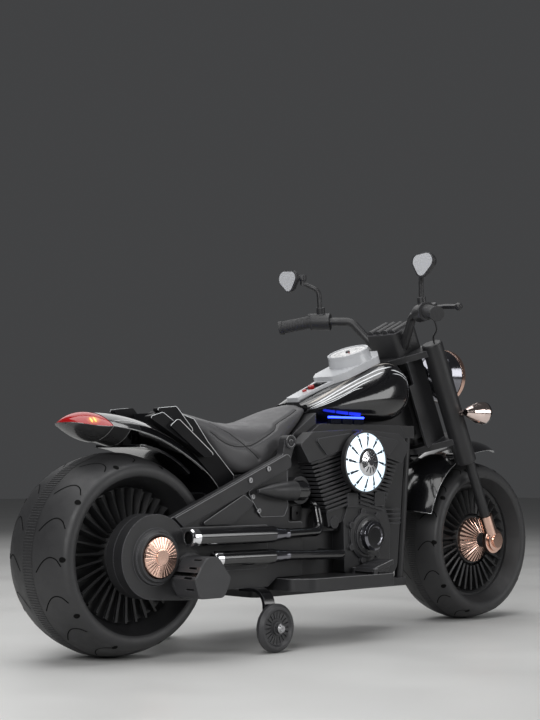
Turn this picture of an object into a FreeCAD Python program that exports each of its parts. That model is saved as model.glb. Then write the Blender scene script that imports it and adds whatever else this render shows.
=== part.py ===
import FreeCAD
import Part
import math
import os
from FreeCAD import Placement, Rotation, Vector

# Ride-on motorbike for a child: +X forward, +Y to the rider's left, +Z up, ground at z = 0, millimetres.

# Wheels
rear_tyre_radius = 156.0
rear_tyre_half = 74.0
rear_crown_radius = 150.0
rear_shoulder_radius = 13.0
rear_lip_turn = 40.0
rear_bead_radius = 124.0
rear_bead_half = 69.0
rear_bead_land = 14.0
rear_rim_lip = 69.0
rear_vane_plate = 34.0
rear_rim_step = 18.0
front_tyre_radius = 150.0
front_tyre_half = 55.0
front_crown_radius = 108.0
front_shoulder_radius = 13.0
front_lip_turn = 45.0
front_bead_radius = 107.0
front_bead_half = 27.0
front_bead_land = 5.0
front_rim_lip = 24.0
front_vane_plate = 16.0
front_rim_step = 8.0
tyre_wall = 8.0
vane_count = 32
vane_thickness = 3.4
vane_height = 12.0
vane_lean = 24.0
rim_wall = 4.0
rim_seat = 12.0
hub_radius = 50.0
hub_rise = 10.0
hub_sleeve = 22.0
cone_radius = 42.0
cone_neck = 13.0
cone_depth = 22.0
cone_flutes = 26
axle_radius = 6.0

# Layout along the bike: rear axle, rear wall of the body, crankshaft, steering axis
tub_gap = 44.0
bay_length = 278.0
head_reach = 215.8
head_height = 400.0
rake = 24.3
fork_offset = 44.0

# Clearances
running_gap = 0.1
fit_gap = 0.3
swing_gap = 8.0
turn_gap = 1.0

# Body shell
tub_half = 66.0
tub_wall = 4.0
tub_floor = 92.0
tub_roof = 364.0
arm_thickness = 14.0
arm_floor = 98.0
rail_rise = 7.0
panel_rise = 3.0
web_rise = 6.0
ledge_z = 200.0
boss_radius = 11.0
spine_half = 18.0
spine_rear_top = 402.0
spine_front_top = 484.0
head_tube_radius = 21.0
head_tube_half = 58.0
stem_radius = 11.0
down_tube_radius = 8.0
pan_thickness = 14.0
pan_half = 70.0
board_half = 150.0
board_top = 110.0
board_thickness = 20.0
socket_width = 23.0
pod_z = 251.5
pod_bore = 16.5
pod_base_radius = 23.0
pod_base_depth = 18.0
jack_radius = 2.9
jack_depth = 10.0
screw_head_radius = 4.2
screw_radius = 1.8

# Drive
gear_module = 1.5
pinion_teeth = 12
idler_wheel_teeth = 34
idler_pinion_teeth = 12
drive_teeth = 46
gear_backlash = 0.5
stage_width = 9.0
gearbox_radius = 64.0
motor_lobe_radius = 37.0
gearbox_wall = 3.0
gearbox_inner = 70.0
gearbox_split = 88.0
gearbox_outer = 108.0
ring_radius = 43.0
ring_rise = 11.0
cap_recess = 7.0
cap_radius = 32.5
cap_flutes = 32
motor_ahead = 65.0
motor_below = 31.0
motor_radius = 18.0
motor_length = 50.0
motor_cover_wall = 2.5
motor_cover_depth = 57.0
sleeve_radius = 18.0
neck_radius = 12.0
hex_across = 30.0
hex_depth = 8.0
idler_pin_radius = 4.0
motor_shaft_radius = 2.0

# Engine and exhaust
cylinder_lean = 13.0
cylinder_foot = 59.0
cylinder_flare = 0.21
cylinder_part = 12.0
vee_back = 28.5
rocker_inner = 78.0
fin_start = 56.0
fin_count = 13
fin_pitch = 7.2
fin_thickness = 3.8
fin_face = 98.0
light_height = 13.0
crank_z = 172.0
air_back = -23.0
air_z = 298.0
air_radius = 53.0
air_cap_radius = 24.0
muffler_y = 126.0
upper_muffler_z = 183.5
upper_muffler_radius = 13.5
lower_muffler_z = 149.0
lower_muffler_radius = 12.0
pipe_radius = 8.0
riser_y = -103.0
riser_height = 44.5
tip_length = 15.0

# Seat, console and tail
seat_overhang = 114.0
seat_pan_half = 58.0
seat_pan_thickness = 18.0
console_lift = 2.0
console_thickness = 8.0
deck_thickness = 16.0
gauge_radius = 38.0
gauge_height = 37.0
gauge_setback = 55.0
button_radius = 6.0
rocker_half = 7.0
fender_wall = 4.0

# Fork and steering, in the frame of the steering axis
fork_half = 75.0
cover_radius = 19.5
cover_back = 8.0
cover_low = -128.0
cover_high = 112.0
slider_radius = 9.5
slider_socket = 60.0
slider_foot = 24.0
clamp_radius = 13.0
crown_high = 92.0
crown_low = -72.0
crown_thickness = 12.0
shroud_half = 45.0
shroud_wall = 5.0
shroud_back = -22.0
shroud_relief = 13.0
shroud_relief_low = 50.0
bar_radius = 8.0
grip_radius = 12.0
pod_radius = 16.0
box_height = 46.0
headlight_z = 463.0
headlight_radius = 50.0
headlight_back = 42.0
headlight_front = 106.0
indicator_w = -28.0
indicator_reach = 43.0
lever_u = 12.0
lever_y = -122.0
lever_w = 186.0
lever_thickness = 6.4
lever_pin_radius = 2.5
mirror_pin_radius = 3.0
mirror_stem_radius = 4.5
mirror_rest = 4.0
cable_radius = 1.6

# Training wheels and pedal
trainer_x = 14.0
trainer_radius = 38.0
trainer_width = 16.0
trainer_y = 144.0
trainer_bar_width = 22.0
trainer_bar_thickness = 6.0
trainer_bend = 24.0
trainer_bolt_radius = 5.0
trainer_slots = 20
pedal_inner = -102.0
pedal_outer = -144.0
pedal_pin_radius = 2.0

# Datum points worked out from the layout
rake_sin = math.sin(math.radians(rake))
rake_cos = math.cos(math.radians(rake))
fork_drop = (head_height + fork_offset * rake_sin - front_tyre_radius) / rake_cos
head_from_rear = rear_tyre_radius + tub_gap + bay_length + head_reach
wheelbase = head_from_rear + fork_offset * rake_cos + fork_drop * rake_sin
guard_inner = rear_tyre_radius + 9
rear_x = -(wheelbase + front_tyre_radius - rear_tyre_radius) / 2
rear_z = rear_tyre_radius
tub_x = rear_x + rear_tyre_radius + tub_gap
engine_x = tub_x + bay_length
vee_x = engine_x - vee_back
head_x = engine_x + head_reach
front_x = rear_x + wheelbase
front_z = front_tyre_radius
arm_in = rear_tyre_half + swing_gap
arm_out = arm_in + arm_thickness
cover_u = fork_offset - cover_back
fork_frame = Placement(Vector(head_x, 0, head_height), Rotation(Vector(0, 1, 0), -rake))
x_axis = Vector(1, 0, 0)
y_axis = Vector(0, 1, 0)
z_axis = Vector(0, 0, 1)


def rear(x):
    return rear_x + x


def tub(x):
    return tub_x + x


def eng(x):
    return engine_x + x


def head(x):
    return head_x + x


def mix(a, b, t):
    return a + (b - a) * t


def in_fork(shape):
    """A shape drawn about the steering axis, set at its place on the bike."""
    placed = shape.copy()
    placed.Placement = fork_frame.multiply(placed.Placement)
    return placed


def fork_point(u, y, w):
    return fork_frame.multVec(Vector(u, y, w))


def mirrored(shape):
    return shape.mirror(Vector(0, 0, 0), y_axis)


def both(shape):
    """The right-hand piece and its left-hand mirror image, as two separate solids."""
    return Part.makeCompound([shape, mirrored(shape)])


def fused(shapes):
    return shapes[0].multiFuse(shapes[1:]).removeSplitter()


def rounded_edges(corners, closed):
    """Straight edges between corners (point, radius), joined by tangent arcs."""
    count = len(corners)
    entry = []
    for i, (point, radius) in enumerate(corners):
        end = not closed and i in (0, count - 1)
        if radius <= 0 or end:
            entry.append((point, None, point))
            continue
        back = (corners[i - 1][0] - point).normalize()
        ahead = (corners[(i + 1) % count][0] - point).normalize()
        half = back.getAngle(ahead) / 2
        reach = radius / math.tan(half)
        middle = (back + ahead).normalize()
        arc_mid = point + middle * (radius / math.sin(half) - radius)
        entry.append((point + back * reach, arc_mid, point + ahead * reach))
    edges = []
    for i, (start, arc_mid, finish) in enumerate(entry):
        if arc_mid is not None:
            edges.append(Part.Arc(start, arc_mid, finish).toShape())
        if i == count - 1 and not closed:
            break
        following = entry[(i + 1) % count][0]
        if (following - finish).Length > 1e-6:
            edges.append(Part.LineSegment(finish, following).toShape())
    return edges


def closed_face(corners):
    return Part.Face(Part.Wire(rounded_edges(corners, True)))


def side_face(points, y):
    """Side-view outline of (x, z) or (x, z, corner radius) as a face."""
    return closed_face([(Vector(p[0], y, p[1]), p[2] if len(p) > 2 else 0) for p in points])


def side_prism(points, y0, y1):
    return side_face(points, y0).extrude(Vector(0, y1 - y0, 0))


def plan_prism(points, z0, z1):
    """Plan outline of (x, y) or (x, y, corner radius), extruded upwards."""
    corners = [(Vector(p[0], p[1], z0), p[2] if len(p) > 2 else 0) for p in points]
    return closed_face(corners).extrude(Vector(0, 0, z1 - z0))


def symmetric(points):
    """Right-hand half of a plan outline closed with its mirror image."""
    return points + [(p[0], -p[1]) + tuple(p[2:]) for p in reversed(points)]


def block(x0, x1, y0, y1, z0, z1):
    return Part.makeBox(x1 - x0, y1 - y0, z1 - z0, Vector(x0, y0, z0))


def rod(start, finish, radius):
    along = finish - start
    return Part.makeCylinder(radius, along.Length, start, along)


def across(x, z, y0, y1, radius):
    """A round bar along Y."""
    return rod(Vector(x, y0, z), Vector(x, y1, z), radius)


def turned(profile, x, z):
    """A profile of (radius, y) turned about the line along Y through (x, z)."""
    points = [Vector(x + r, y, z) for r, y in profile]
    face = Part.Face(Part.makePolygon(points + [points[0]]))
    return face.revolve(Vector(x, 0, z), y_axis, 360)


def turned_along(profile, base, axis):
    """A profile of (distance along axis, radius) turned about axis."""
    points = [Vector(r, 0, s) for s, r in profile]
    face = Part.Face(Part.makePolygon(points + [points[0]]))
    solid = face.revolve(Vector(0, 0, 0), z_axis, 360)
    solid.Placement = Placement(base, Rotation(z_axis, axis))
    return solid


def tube(points, radii, radius):
    """A round bar along straight runs joined by tangent arcs."""
    path = Part.Wire(rounded_edges(list(zip(points, [0] + list(radii) + [0])), False))
    along = (points[1] - points[0]).normalize()
    ring = Part.Wire(Part.makeCircle(radius, points[0], along))
    return path.makePipeShell([ring], True, False)


def spin_copies(shape, count, x, z):
    """Copies of a shape evenly round the line along Y through (x, z)."""
    copies = []
    for i in range(count):
        turned_copy = shape.copy()
        turned_copy.rotate(Vector(x, 0, z), y_axis, 360.0 * i / count)
        copies.append(turned_copy)
    return copies


def outward(lean):
    """Unit vector in the side view, lean degrees from +X towards +Z."""
    return Vector(math.cos(math.radians(lean)), 0, math.sin(math.radians(lean)))


def arch_section(x, z, lean, half, drop):
    """Arched strip across the bike: crest at (x, z), rising along lean, one wall thick."""
    out = outward(lean)

    def point(y, rise):
        return Vector(x, y, z) + out * rise

    inner = half - fender_wall
    return Part.Wire([
        Part.Arc(point(-half, -drop), point(0, 0), point(half, -drop)).toShape(),
        Part.LineSegment(point(half, -drop), point(inner, -drop)).toShape(),
        Part.Arc(point(inner, -drop), point(0, -fender_wall), point(-inner, -drop)).toShape(),
        Part.LineSegment(point(-inner, -drop), point(-half, -drop)).toShape()])


def bow_section(x, z, lean, half, rise):
    """Half-moon section across the bike: flat chord at (x, z) and a bow of the given rise along lean."""
    base = Vector(x, 0, z)
    left = base + y_axis * half
    right = base - y_axis * half
    bow = Part.Arc(right, base + outward(lean) * rise, left).toShape()
    return Part.Wire([bow, Part.LineSegment(left, right).toShape()])


def shoulder(radius, half, crown, side):
    """Centre (y, r) of the shoulder arc that touches the crown arc, and the point where they meet."""
    centre_y = half - side
    hub_r = radius - crown
    centre_r = hub_r + math.sqrt((crown - side) ** 2 - centre_y ** 2)
    share = crown / (crown - side)
    return centre_y, centre_r, centre_y * share, hub_r + (centre_r - hub_r) * share


def tyre(x, radius, half, crown, side, bead_radius, bead_half, land, lip_turn):
    """Moulded fat tyre: crown arc, shoulder arcs past the widest point, and an open channel inside."""
    centre_y, centre_r, meet_y, meet_r = shoulder(radius, half, crown, side)
    lip = math.radians(lip_turn)
    middle = (math.atan2(meet_r - centre_r, meet_y - centre_y) - lip) / 2

    def point(y, r):
        return Vector(x + r, y, radius)

    def on_shoulder(angle, sign):
        return point(sign * (centre_y + side * math.cos(angle)), centre_r + side * math.sin(angle))

    channel = bead_half - land
    edges = [Part.Arc(point(-meet_y, meet_r), point(0, radius), point(meet_y, meet_r)).toShape()]
    for sign in (1, -1):
        edges.append(Part.Arc(point(sign * meet_y, meet_r), on_shoulder(middle, sign),
                              on_shoulder(-lip, sign)).toShape())
        run = [on_shoulder(-lip, sign), point(sign * bead_half, bead_radius),
               point(sign * channel, bead_radius)]
        edges += [Part.LineSegment(a, b).toShape() for a, b in zip(run, run[1:])]
    edges.append(Part.Arc(point(channel, bead_radius), point(0, radius - tyre_wall),
                          point(-channel, bead_radius)).toShape())
    outline = Part.Wire(Part.__sortEdges__(edges))
    return Part.Face(outline).revolve(Vector(x, 0, radius), y_axis, 360)


def rim(x, z, bead_radius, lip, plate, step):
    """Right-hand half rim: dished wall, vane plate, hub boss, axle sleeve and leaning turbine vanes."""
    bore = axle_radius + running_gap
    foot = bead_radius - step
    boss = plate + hub_rise
    back = rim_wall - plate
    profile = [(bead_radius, -lip), (bead_radius - rim_wall, -lip), (foot, -plate - 5),
               (foot - rim_wall, -plate),
               (hub_radius, -plate), (hub_radius - 5, -boss), (bore, -boss), (bore, 0), (hub_sleeve, 0),
               (hub_sleeve, back), (foot, back), (bead_radius - 3, rim_seat - lip),
               (bead_radius, rim_seat - lip)]
    dish = turned(profile, x, z)
    vane = Part.makeBox(foot - 3 - hub_radius, vane_height + 1, vane_thickness)
    vane.translate(Vector(hub_radius, -vane_height - plate, -vane_thickness / 2))
    vane.rotate(Vector(0, -plate, 0), x_axis, vane_lean)
    vane.translate(Vector(x, 0, z))
    return fused([dish] + spin_copies(vane, vane_count, x, z))


def hexagon(width, x, z, y0, y1):
    reach = width / math.sqrt(3)
    corners = []
    for i in range(6):
        angle = math.radians(60 * i)
        corners.append((x + reach * math.cos(angle), z + reach * math.sin(angle)))
    return side_prism(corners, y0, y1)


def fluted_cone(x, z, base_y):
    """Front hub cap: shallow cone with radial flutes, and a collar that stops short of the fork clamp."""
    bore = axle_radius + running_gap
    edge_y = base_y - 4
    tip_y = base_y - cone_depth
    end_y = clamp_radius - fork_half + turn_gap
    cone = turned([(bore, base_y), (cone_radius, base_y), (cone_radius, edge_y), (cone_neck, tip_y),
                   (cone_neck, end_y), (bore, end_y)], x, z)
    groove = rod(Vector(x + cone_neck + 3, tip_y, z), Vector(x + cone_radius + 4, edge_y, z), 1.7)
    return cone.cut(spin_copies(groove, cone_flutes, x, z))


def clamp_face():
    """Inner face of the right axle clamp."""
    return 8 - fork_half


def wheels(nodes):
    nodes["rear_tyre"] = tyre(rear_x, rear_tyre_radius, rear_tyre_half, rear_crown_radius,
                              rear_shoulder_radius,
                              rear_bead_radius, rear_bead_half, rear_bead_land, rear_lip_turn)
    nodes["front_tyre"] = tyre(front_x, front_tyre_radius, front_tyre_half, front_crown_radius,
                               front_shoulder_radius, front_bead_radius, front_bead_half, front_bead_land,
                               front_lip_turn)
    right = rim(rear_x, rear_z, rear_bead_radius, rear_rim_lip, rear_vane_plate, rear_rim_step)
    boss_y = -rear_vane_plate - hub_rise
    pocket = hexagon(hex_across + 2 * fit_gap, rear_x, rear_z, boss_y, boss_y + hex_depth)
    nodes["rear_rims"] = Part.makeCompound([right.cut(pocket), mirrored(right)])
    nodes["front_rims"] = both(rim(front_x, front_z, front_bead_radius, front_rim_lip, front_vane_plate,
                                   front_rim_step))
    nodes["front_hub_caps"] = both(fluted_cone(front_x, front_z, -front_vane_plate - hub_rise))


# Drive positions in the side view
axle_point = (rear_x, rear_z)
motor_point = (rear_x + motor_ahead, rear_z - motor_below)
first_centres = gear_module * (pinion_teeth + idler_wheel_teeth) / 2
second_centres = gear_module * (idler_pinion_teeth + drive_teeth) / 2
motor_reach = math.hypot(motor_ahead, motor_below)
idler_along = (second_centres ** 2 - first_centres ** 2 + motor_reach ** 2) / (2 * motor_reach)
idler_up = math.sqrt(second_centres ** 2 - idler_along ** 2)
idler_x = rear_x + (idler_along * motor_ahead + idler_up * motor_below) / motor_reach
idler_z = rear_z + (idler_up * motor_ahead - idler_along * motor_below) / motor_reach
idler_point = (idler_x, idler_z)
stage_two = gearbox_inner + gearbox_wall + 3
stage_one = gearbox_split + 2


def gear(teeth, x, z, y0, y1, tooth_angle):
    """Involute spur gear along Y with one tooth centred on tooth_angle, measured from +X towards +Z."""
    pressure = math.radians(20)
    pitch_r = gear_module * teeth / 2
    base_r = pitch_r * math.cos(pressure)
    root_r = pitch_r - 1.25 * gear_module
    tip_r = pitch_r + 0.85 * gear_module
    half_tooth = (math.pi * gear_module / 2 - gear_backlash) / 2 / pitch_r

    def spread(r):
        angle = math.acos(min(1.0, base_r / r))
        return half_tooth + math.tan(pressure) - pressure - (math.tan(angle) - angle)

    start_r = max(base_r, root_r)
    flank = [(root_r, spread(start_r))] if root_r < base_r else []
    flank += [(r, spread(r)) for r in (start_r, (start_r + tip_r) / 2, tip_r)]
    points = []
    for i in range(teeth):
        middle = math.radians(tooth_angle) + 2 * math.pi * i / teeth
        tooth = [(r, middle - a) for r, a in flank] + [(r, middle + a) for r, a in reversed(flank)]
        points += [Vector(x + r * math.cos(a), y0, z + r * math.sin(a)) for r, a in tooth]
    face = Part.Face(Part.makePolygon(points + [points[0]]))
    return face.extrude(Vector(0, y1 - y0, 0))


def direction(a, b):
    """Angle from point a to point b in the side view, from +X towards +Z."""
    return math.degrees(math.atan2(b[1] - a[1], b[0] - a[0]))


def pear(inset, y0, y1):
    """Gearbox outline round the axle and the motor, as one smooth pear."""
    big = gearbox_radius - inset
    small = motor_lobe_radius - inset
    heading = math.atan2(-motor_below, motor_ahead)
    opening = math.acos((big - small) / motor_reach)
    up = heading + opening
    down = heading - opening

    def on(centre, radius, angle):
        return Vector(centre[0] + radius * math.cos(angle), y0, centre[1] + radius * math.sin(angle))

    far = on(axle_point, big, heading + math.pi)
    near = on(motor_point, small, heading)
    edges = [Part.Arc(on(axle_point, big, up), far, on(axle_point, big, down)).toShape(),
             Part.LineSegment(on(axle_point, big, down), on(motor_point, small, down)).toShape(),
             Part.Arc(on(motor_point, small, down), near, on(motor_point, small, up)).toShape(),
             Part.LineSegment(on(motor_point, small, up), on(axle_point, big, up)).toShape()]
    return Part.Face(Part.Wire(edges)).extrude(Vector(0, y1 - y0, 0))


def ring_profile(face, outwards):
    """Stepped rings round the hub cap, (radius, y), from the housing face outwards."""
    steps = [(axle_radius, 0), (ring_radius, 0), (ring_radius - 2, 5), (ring_radius - 4, 5),
             (ring_radius - 7, ring_rise), (cap_radius + fit_gap, ring_rise),
             (cap_radius + fit_gap, cap_recess),
             (axle_radius, cap_recess)]
    return [(r, face + outwards * s) for r, s in steps]


def drive(nodes):
    """Motor, two-stage gear train in its pear-shaped box, rear axle and hub caps."""
    split = -gearbox_split
    floor_y = -gearbox_inner
    shelf = floor_y - gearbox_wall
    lid = -gearbox_outer + gearbox_wall
    mx, mz = motor_point
    case = pear(0, split, floor_y).cut(pear(gearbox_wall, split, shelf))
    case = case.cut(across(rear_x, rear_z, split, floor_y, sleeve_radius + fit_gap))
    pin = across(idler_x, idler_z, lid + fit_gap, shelf, idler_pin_radius)
    nodes["gearbox_case"] = fused([case, pin])
    cover = pear(0, -gearbox_outer, split).cut(pear(gearbox_wall, lid, split))
    cover = fused([cover, turned(ring_profile(-gearbox_outer, -1), rear_x, rear_z)])
    nodes["gearbox_cover"] = cover.cut([across(rear_x, rear_z, -gearbox_outer - ring_rise, split,
                                               axle_radius),
                                        across(mx, mz, -gearbox_outer, split, 2 * motor_shaft_radius)])
    boss_y = -rear_vane_plate - hub_rise
    output = fused([gear(drive_teeth, rear_x, rear_z, -stage_two - stage_width, -stage_two,
                         direction(axle_point, idler_point)),
                    across(rear_x, rear_z, -stage_two - stage_width, boss_y, sleeve_radius),
                    across(rear_x, rear_z, lid + turn_gap, boss_y, neck_radius),
                    hexagon(hex_across, rear_x, rear_z, boss_y, boss_y + hex_depth - fit_gap)])
    nodes["drive_gear"] = output.cut(across(rear_x, rear_z, -gearbox_outer, 0, axle_radius + running_gap))
    small = gear(idler_pinion_teeth, idler_x, idler_z, -stage_one, -stage_two + turn_gap,
                 direction(idler_point, axle_point) + 180.0 / idler_pinion_teeth)
    wheel = gear(idler_wheel_teeth, idler_x, idler_z, -stage_one - stage_width, -stage_one,
                 direction(idler_point, motor_point))
    nodes["idler_gear"] = fused([small, wheel]).cut(
        across(idler_x, idler_z, -gearbox_outer, floor_y, idler_pin_radius + running_gap))
    pinion = gear(pinion_teeth, mx, mz, -stage_one - stage_width - turn_gap, -stage_one + turn_gap,
                  direction(motor_point, idler_point) + 180.0 / pinion_teeth)
    shaft = across(mx, mz, -gearbox_outer - 12, -stage_one + turn_gap, motor_shaft_radius)
    nodes["motor_pinion"] = fused([pinion, shaft])
    can_out = -gearbox_outer - motor_length
    bore = motor_shaft_radius + running_gap
    nodes["motor"] = turned([(bore, -gearbox_outer), (motor_radius, -gearbox_outer),
                             (motor_radius, can_out + 3),
                             (motor_radius - 3, can_out), (0, can_out), (0, -gearbox_outer - 14),
                             (bore, -gearbox_outer - 14)], mx, mz)
    nodes["motor_cover"] = motor_cover()
    rest = -gearbox_outer - cap_recess
    axle = across(rear_x, rear_z, rest + turn_gap, -rest - turn_gap, axle_radius)
    nodes["rear_axle"] = Part.makeCompound([axle, rear_cap(rest), mirrored(rear_cap(rest))])
    inner, outer = gearbox_inner, gearbox_outer
    rings = ring_profile(outer, 1)
    housing = [(axle_radius, inner), (gearbox_radius - 4, inner), (gearbox_radius, inner + 4),
               (gearbox_radius, outer - 4), (gearbox_radius - 4, outer)] + rings[1:]
    nodes["axle_housing_left"] = turned(housing, rear_x, rear_z)


def motor_cover():
    """Slotted motor cup with a round flange at the gearbox and a rounded triangular outer face."""
    x, z = motor_point
    base = -gearbox_outer
    out = base - motor_cover_depth
    corners = [(x - 37, z + 2, 12), (x - 26, z - 31, 10), (x + 24, z - 31, 12), (x + 38, z - 2, 10),
               (x + 11, z + 31, 12), (x - 11, z + 31, 12)]
    outer_face = side_face(corners, out)
    cup = outer_face.extrude(Vector(0, motor_cover_depth - 4, 0))
    flange = across(x, z, base - 5, base, motor_lobe_radius - 2)
    inner = outer_face.makeOffset2D(-motor_cover_wall)
    inner.translate(Vector(0, motor_cover_wall, 0))
    hollow = inner.extrude(Vector(0, motor_cover_depth, 0))
    slot = block(x + 20, x + 44, out + 9, out + 27, z - 1.6, z + 1.6)
    ring_room = across(rear_x, rear_z, out, base, ring_radius + fit_gap)
    cup = fused([cup, flange]).cut([hollow, ring_room] + spin_copies(slot, 12, x, z))
    edge = [e for e in cup.Edges if all(abs(v.Y - out) < 1e-6 for v in e.Vertexes)]
    return cup.makeChamfer(1.5, edge)


def rear_cap(rest):
    """Fluted rear hub cap with a flat centre button, seated in the stepped ring."""
    cap = turned([(0, rest), (cap_radius, rest), (cap_radius - 2.5, rest - 7), (11, rest - 9),
                  (11, rest - 10.5),
                  (0, rest - 10.5)], rear_x, rear_z)
    groove = rod(Vector(rear_x + 12.5, rest - 9.6, rear_z),
                 Vector(rear_x + cap_radius, rest - 7.6, rear_z), 1.2)
    return cap.cut(spin_copies(groove, cap_flutes, rear_x, rear_z))


def tub_outline():
    return [(tub(0), 258, 10), (tub(35), 262, 20), (tub(100), 296), (tub(150), 334, 20),
            (eng(-82), tub_roof, 20),
            (head(-90), tub_roof, 10), (head(-78), 345, 12), (head(-102), 112, 20),
            (head(-124), tub_floor, 12),
            (tub(0), tub_floor, 14)]


def arm_outline():
    return [(rear(36), 110, 8), (rear(110), arm_floor, 20), (tub(44), arm_floor, 8),
            (tub(64), board_top + 2, 8), (tub(122), board_top + 2, 6), (tub(122), ledge_z, 4),
            (tub(90), ledge_z, 4), (tub(90), 286, 6), (tub(104), 324, 8), (tub(98), 344, 8),
            (tub(82), 334, 6), (tub(78), 309, 10), (rear(34), 210, 10), (rear(18), 206, 6)]


def rail_outline():
    return [(rear(60), 198), (tub(92), 290, 8), (tub(86), 313, 8), (rear(42), 213)]


def spine_top(x):
    """Height of the spine under the console: a straight slope from the seat to the gauge."""
    return mix(spine_rear_top, spine_front_top, (x - eng(-82)) / (head(-94) - eng(-82)))


def body_half():
    """Right body half: hollow tub, swing arm with strut, spine, neck, half head tube and down tube."""
    shell = side_prism(tub_outline(), -tub_half, 0)
    cavity = [(tub(tub_wall), tub_floor + tub_wall), (tub(tub_wall), 248), (tub(150), 320),
              (eng(-70), tub_roof - tub_wall), (head(-94), tub_roof - tub_wall), (head(-108), 122),
              (head(-130), tub_floor + tub_wall)]
    arm = side_prism(arm_outline(), -arm_out, -arm_in)
    bridge = side_prism(arm_outline(), -arm_in, -tub_half).common(
        block(tub(8), tub(122), -arm_in, -tub_half, arm_floor, 250))
    boss = turned([(0, -arm_in), (boss_radius, -arm_in), (boss_radius, -arm_out - 4),
                   (boss_radius - 3, -arm_out - 4), (boss_radius - 3, -arm_out - 2), (4, -arm_out - 2),
                   (4, -arm_out - 4), (0, -arm_out - 4)], tub(93), 331)
    tray = side_prism([(rear(50), 128, 6), (rear(50), 197, 8), (tub(40), 197, 4), (tub(40), 128, 6)],
                      -arm_out - panel_rise, -arm_out)
    rail = side_prism(rail_outline(), -arm_out - rail_rise, -arm_out)
    web = side_prism([(rear(92), 200, 3), (tub(-14), 246, 3), (tub(8), 232, 3), (rear(164), 200, 3)],
                     -arm_out - web_rise, -arm_out)
    down = rod(Vector(head(-81), -50, tub_floor - 10), Vector(head(-52), -46, tub_roof - 12),
               down_tube_radius)
    down = down.common(block(head(-120), head(0), -80, 0, tub_floor, tub_roof))
    knee = block(head(-100), head(-42), -56, -36, 342, tub_roof)
    shell = fused([shell, arm, bridge, boss, tray, rail, web, down, knee])
    shell = shell.cut(side_prism(cavity, tub_wall - tub_half, 0))
    spine = side_prism([(eng(-82), tub_roof - 2), (eng(-82), spine_rear_top), (head(-94), spine_front_top),
                        (head(-60), head_height + 56), (head(-24), head_height + 52),
                        (head(22), head_height - 50), (head(-50), head_height - 55),
                        (head(-66), tub_roof - 2)], -spine_half, 0)
    tube_half = in_fork(rod(Vector(0, 0, -head_tube_half), Vector(0, 0, head_tube_half), head_tube_radius))
    tube_half = tube_half.common(block(head(-200), head(200), -200, 0, 0, head_height + 200))
    gusset = block(head(-60), head(-42), -56, 0, 348, tub_roof)
    bore = in_fork(rod(Vector(0, 0, -200), Vector(0, 0, 200), stem_radius + running_gap))
    return fused([shell, spine, tube_half, gusset]).cut(bore)


screw_spots = [(38, 287, rail_rise), (-2, 269, rail_rise), (7, 243, panel_rise), (20, 220, panel_rise)]


def screw_shanks():
    """Screw shanks of the right side: two on the strut, two on the side panel."""
    return [across(tub(x), z, -arm_out - rise, -arm_out - rise + 9, screw_radius) for x, z,
            rise in screw_spots]


def body(nodes):
    shanks = screw_shanks()
    right = body_half().cut(shanks)
    socket_x, socket_z = tub(136), 213
    nodes["body_half_left"] = mirrored(right).cut(across(rear_x, rear_z, 0, 200, gearbox_radius))
    nodes["body_half_right"] = right.cut([pear(0, -gearbox_outer, -gearbox_inner),
                                          across(socket_x, socket_z, -arm_out, 0, 8)])
    nodes["charging_socket"] = charging_socket(socket_x, socket_z)
    nodes["floor_pan"] = floor_pan()
    base = tub_floor + tub_wall
    nodes["battery"] = Part.makeCompound([block(tub(60), tub(211), -49, 49, base, base + 95),
                                          block(tub(225), tub(305), -40, 40, base, base + 34)])
    outline = [(tub(-3), 250, 4), (tub(26), 210, 6), (tub(78), 210, 8), (tub(86), 226, 4),
               (tub(84), 288, 4), (tub(70), 288, 4)]
    panel = side_prism(outline, -arm_out - panel_rise, -arm_out)
    panel = panel.cut([side_prism(rail_outline(), -arm_out - rail_rise, -arm_out)] + shanks)
    nodes["side_panels"] = both(panel)
    nodes["intake_pods"] = both(intake_pod().cut(panel))
    screws = []
    for (x, z, rise), shank in zip(screw_spots, shanks):
        seat_y = -arm_out - rise
        head_part = across(tub(x), z, seat_y - 2.2, seat_y, screw_head_radius)
        screws.append(fused([head_part, shank]).cut(hexagon(4, tub(x), z, seat_y - 3, seat_y - 1)))
    nodes["fasteners"] = Part.makeCompound(screws + [mirrored(screw) for screw in screws])


def charging_socket(x, z):
    """Square bezel on the body side with the round jack bore."""
    half = socket_width / 2
    square = [(x - half, z - half, 3), (x + half, z - half, 3), (x + half, z + half, 3),
              (x - half, z + half, 3)]
    bezel = side_prism(square, -tub_half - 4, -tub_half)
    barrel = across(x, z, -tub_half, -tub_half + 12, 8)
    return fused([bezel, barrel]).cut(across(x, z, -tub_half - 4, -tub_half - 4 + jack_depth, jack_radius))


def floor_pan():
    """Belly pan with a foot board on each side."""
    low = tub_floor - pan_thickness
    pan = plan_prism(symmetric([(tub(40), -pan_half, 16), (head(-66), -pan_half + 8, 14)]), low, tub_floor)
    board = plan_prism([(tub(66), -tub_half), (tub(66), -board_half + 26, 20), (tub(96), -board_half, 30),
                        (eng(16), -board_half, 10), (eng(16), -tub_half)], board_top - board_thickness,
                       board_top)
    return fused([pan, board, mirrored(board)])


def intake_pod():
    """Bullet pod with a ring at its open end, on a neck from a round base on the body side."""
    axis_y = -arm_out - 15
    bullet = turned_along([(0, 0), (0, 3), (30, 10.5), (58, 15.5), (80, pod_bore), (99, pod_bore),
                           (99, pod_bore - 3), (105, pod_bore - 3), (105, 0)],
                          Vector(tub(8), axis_y, pod_z), x_axis)
    base = across(tub(130), pod_z, -tub_half - pod_base_depth, -tub_half, pod_base_radius)
    neck = rod(Vector(tub(102), axis_y + 2, pod_z),
               Vector(tub(128), -tub_half - pod_base_depth + 4, pod_z), 11)
    return fused([bullet.cut(block(tub(0), tub(90), -arm_out, 0, pod_z - 40, pod_z + 40)), neck, base])


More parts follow.
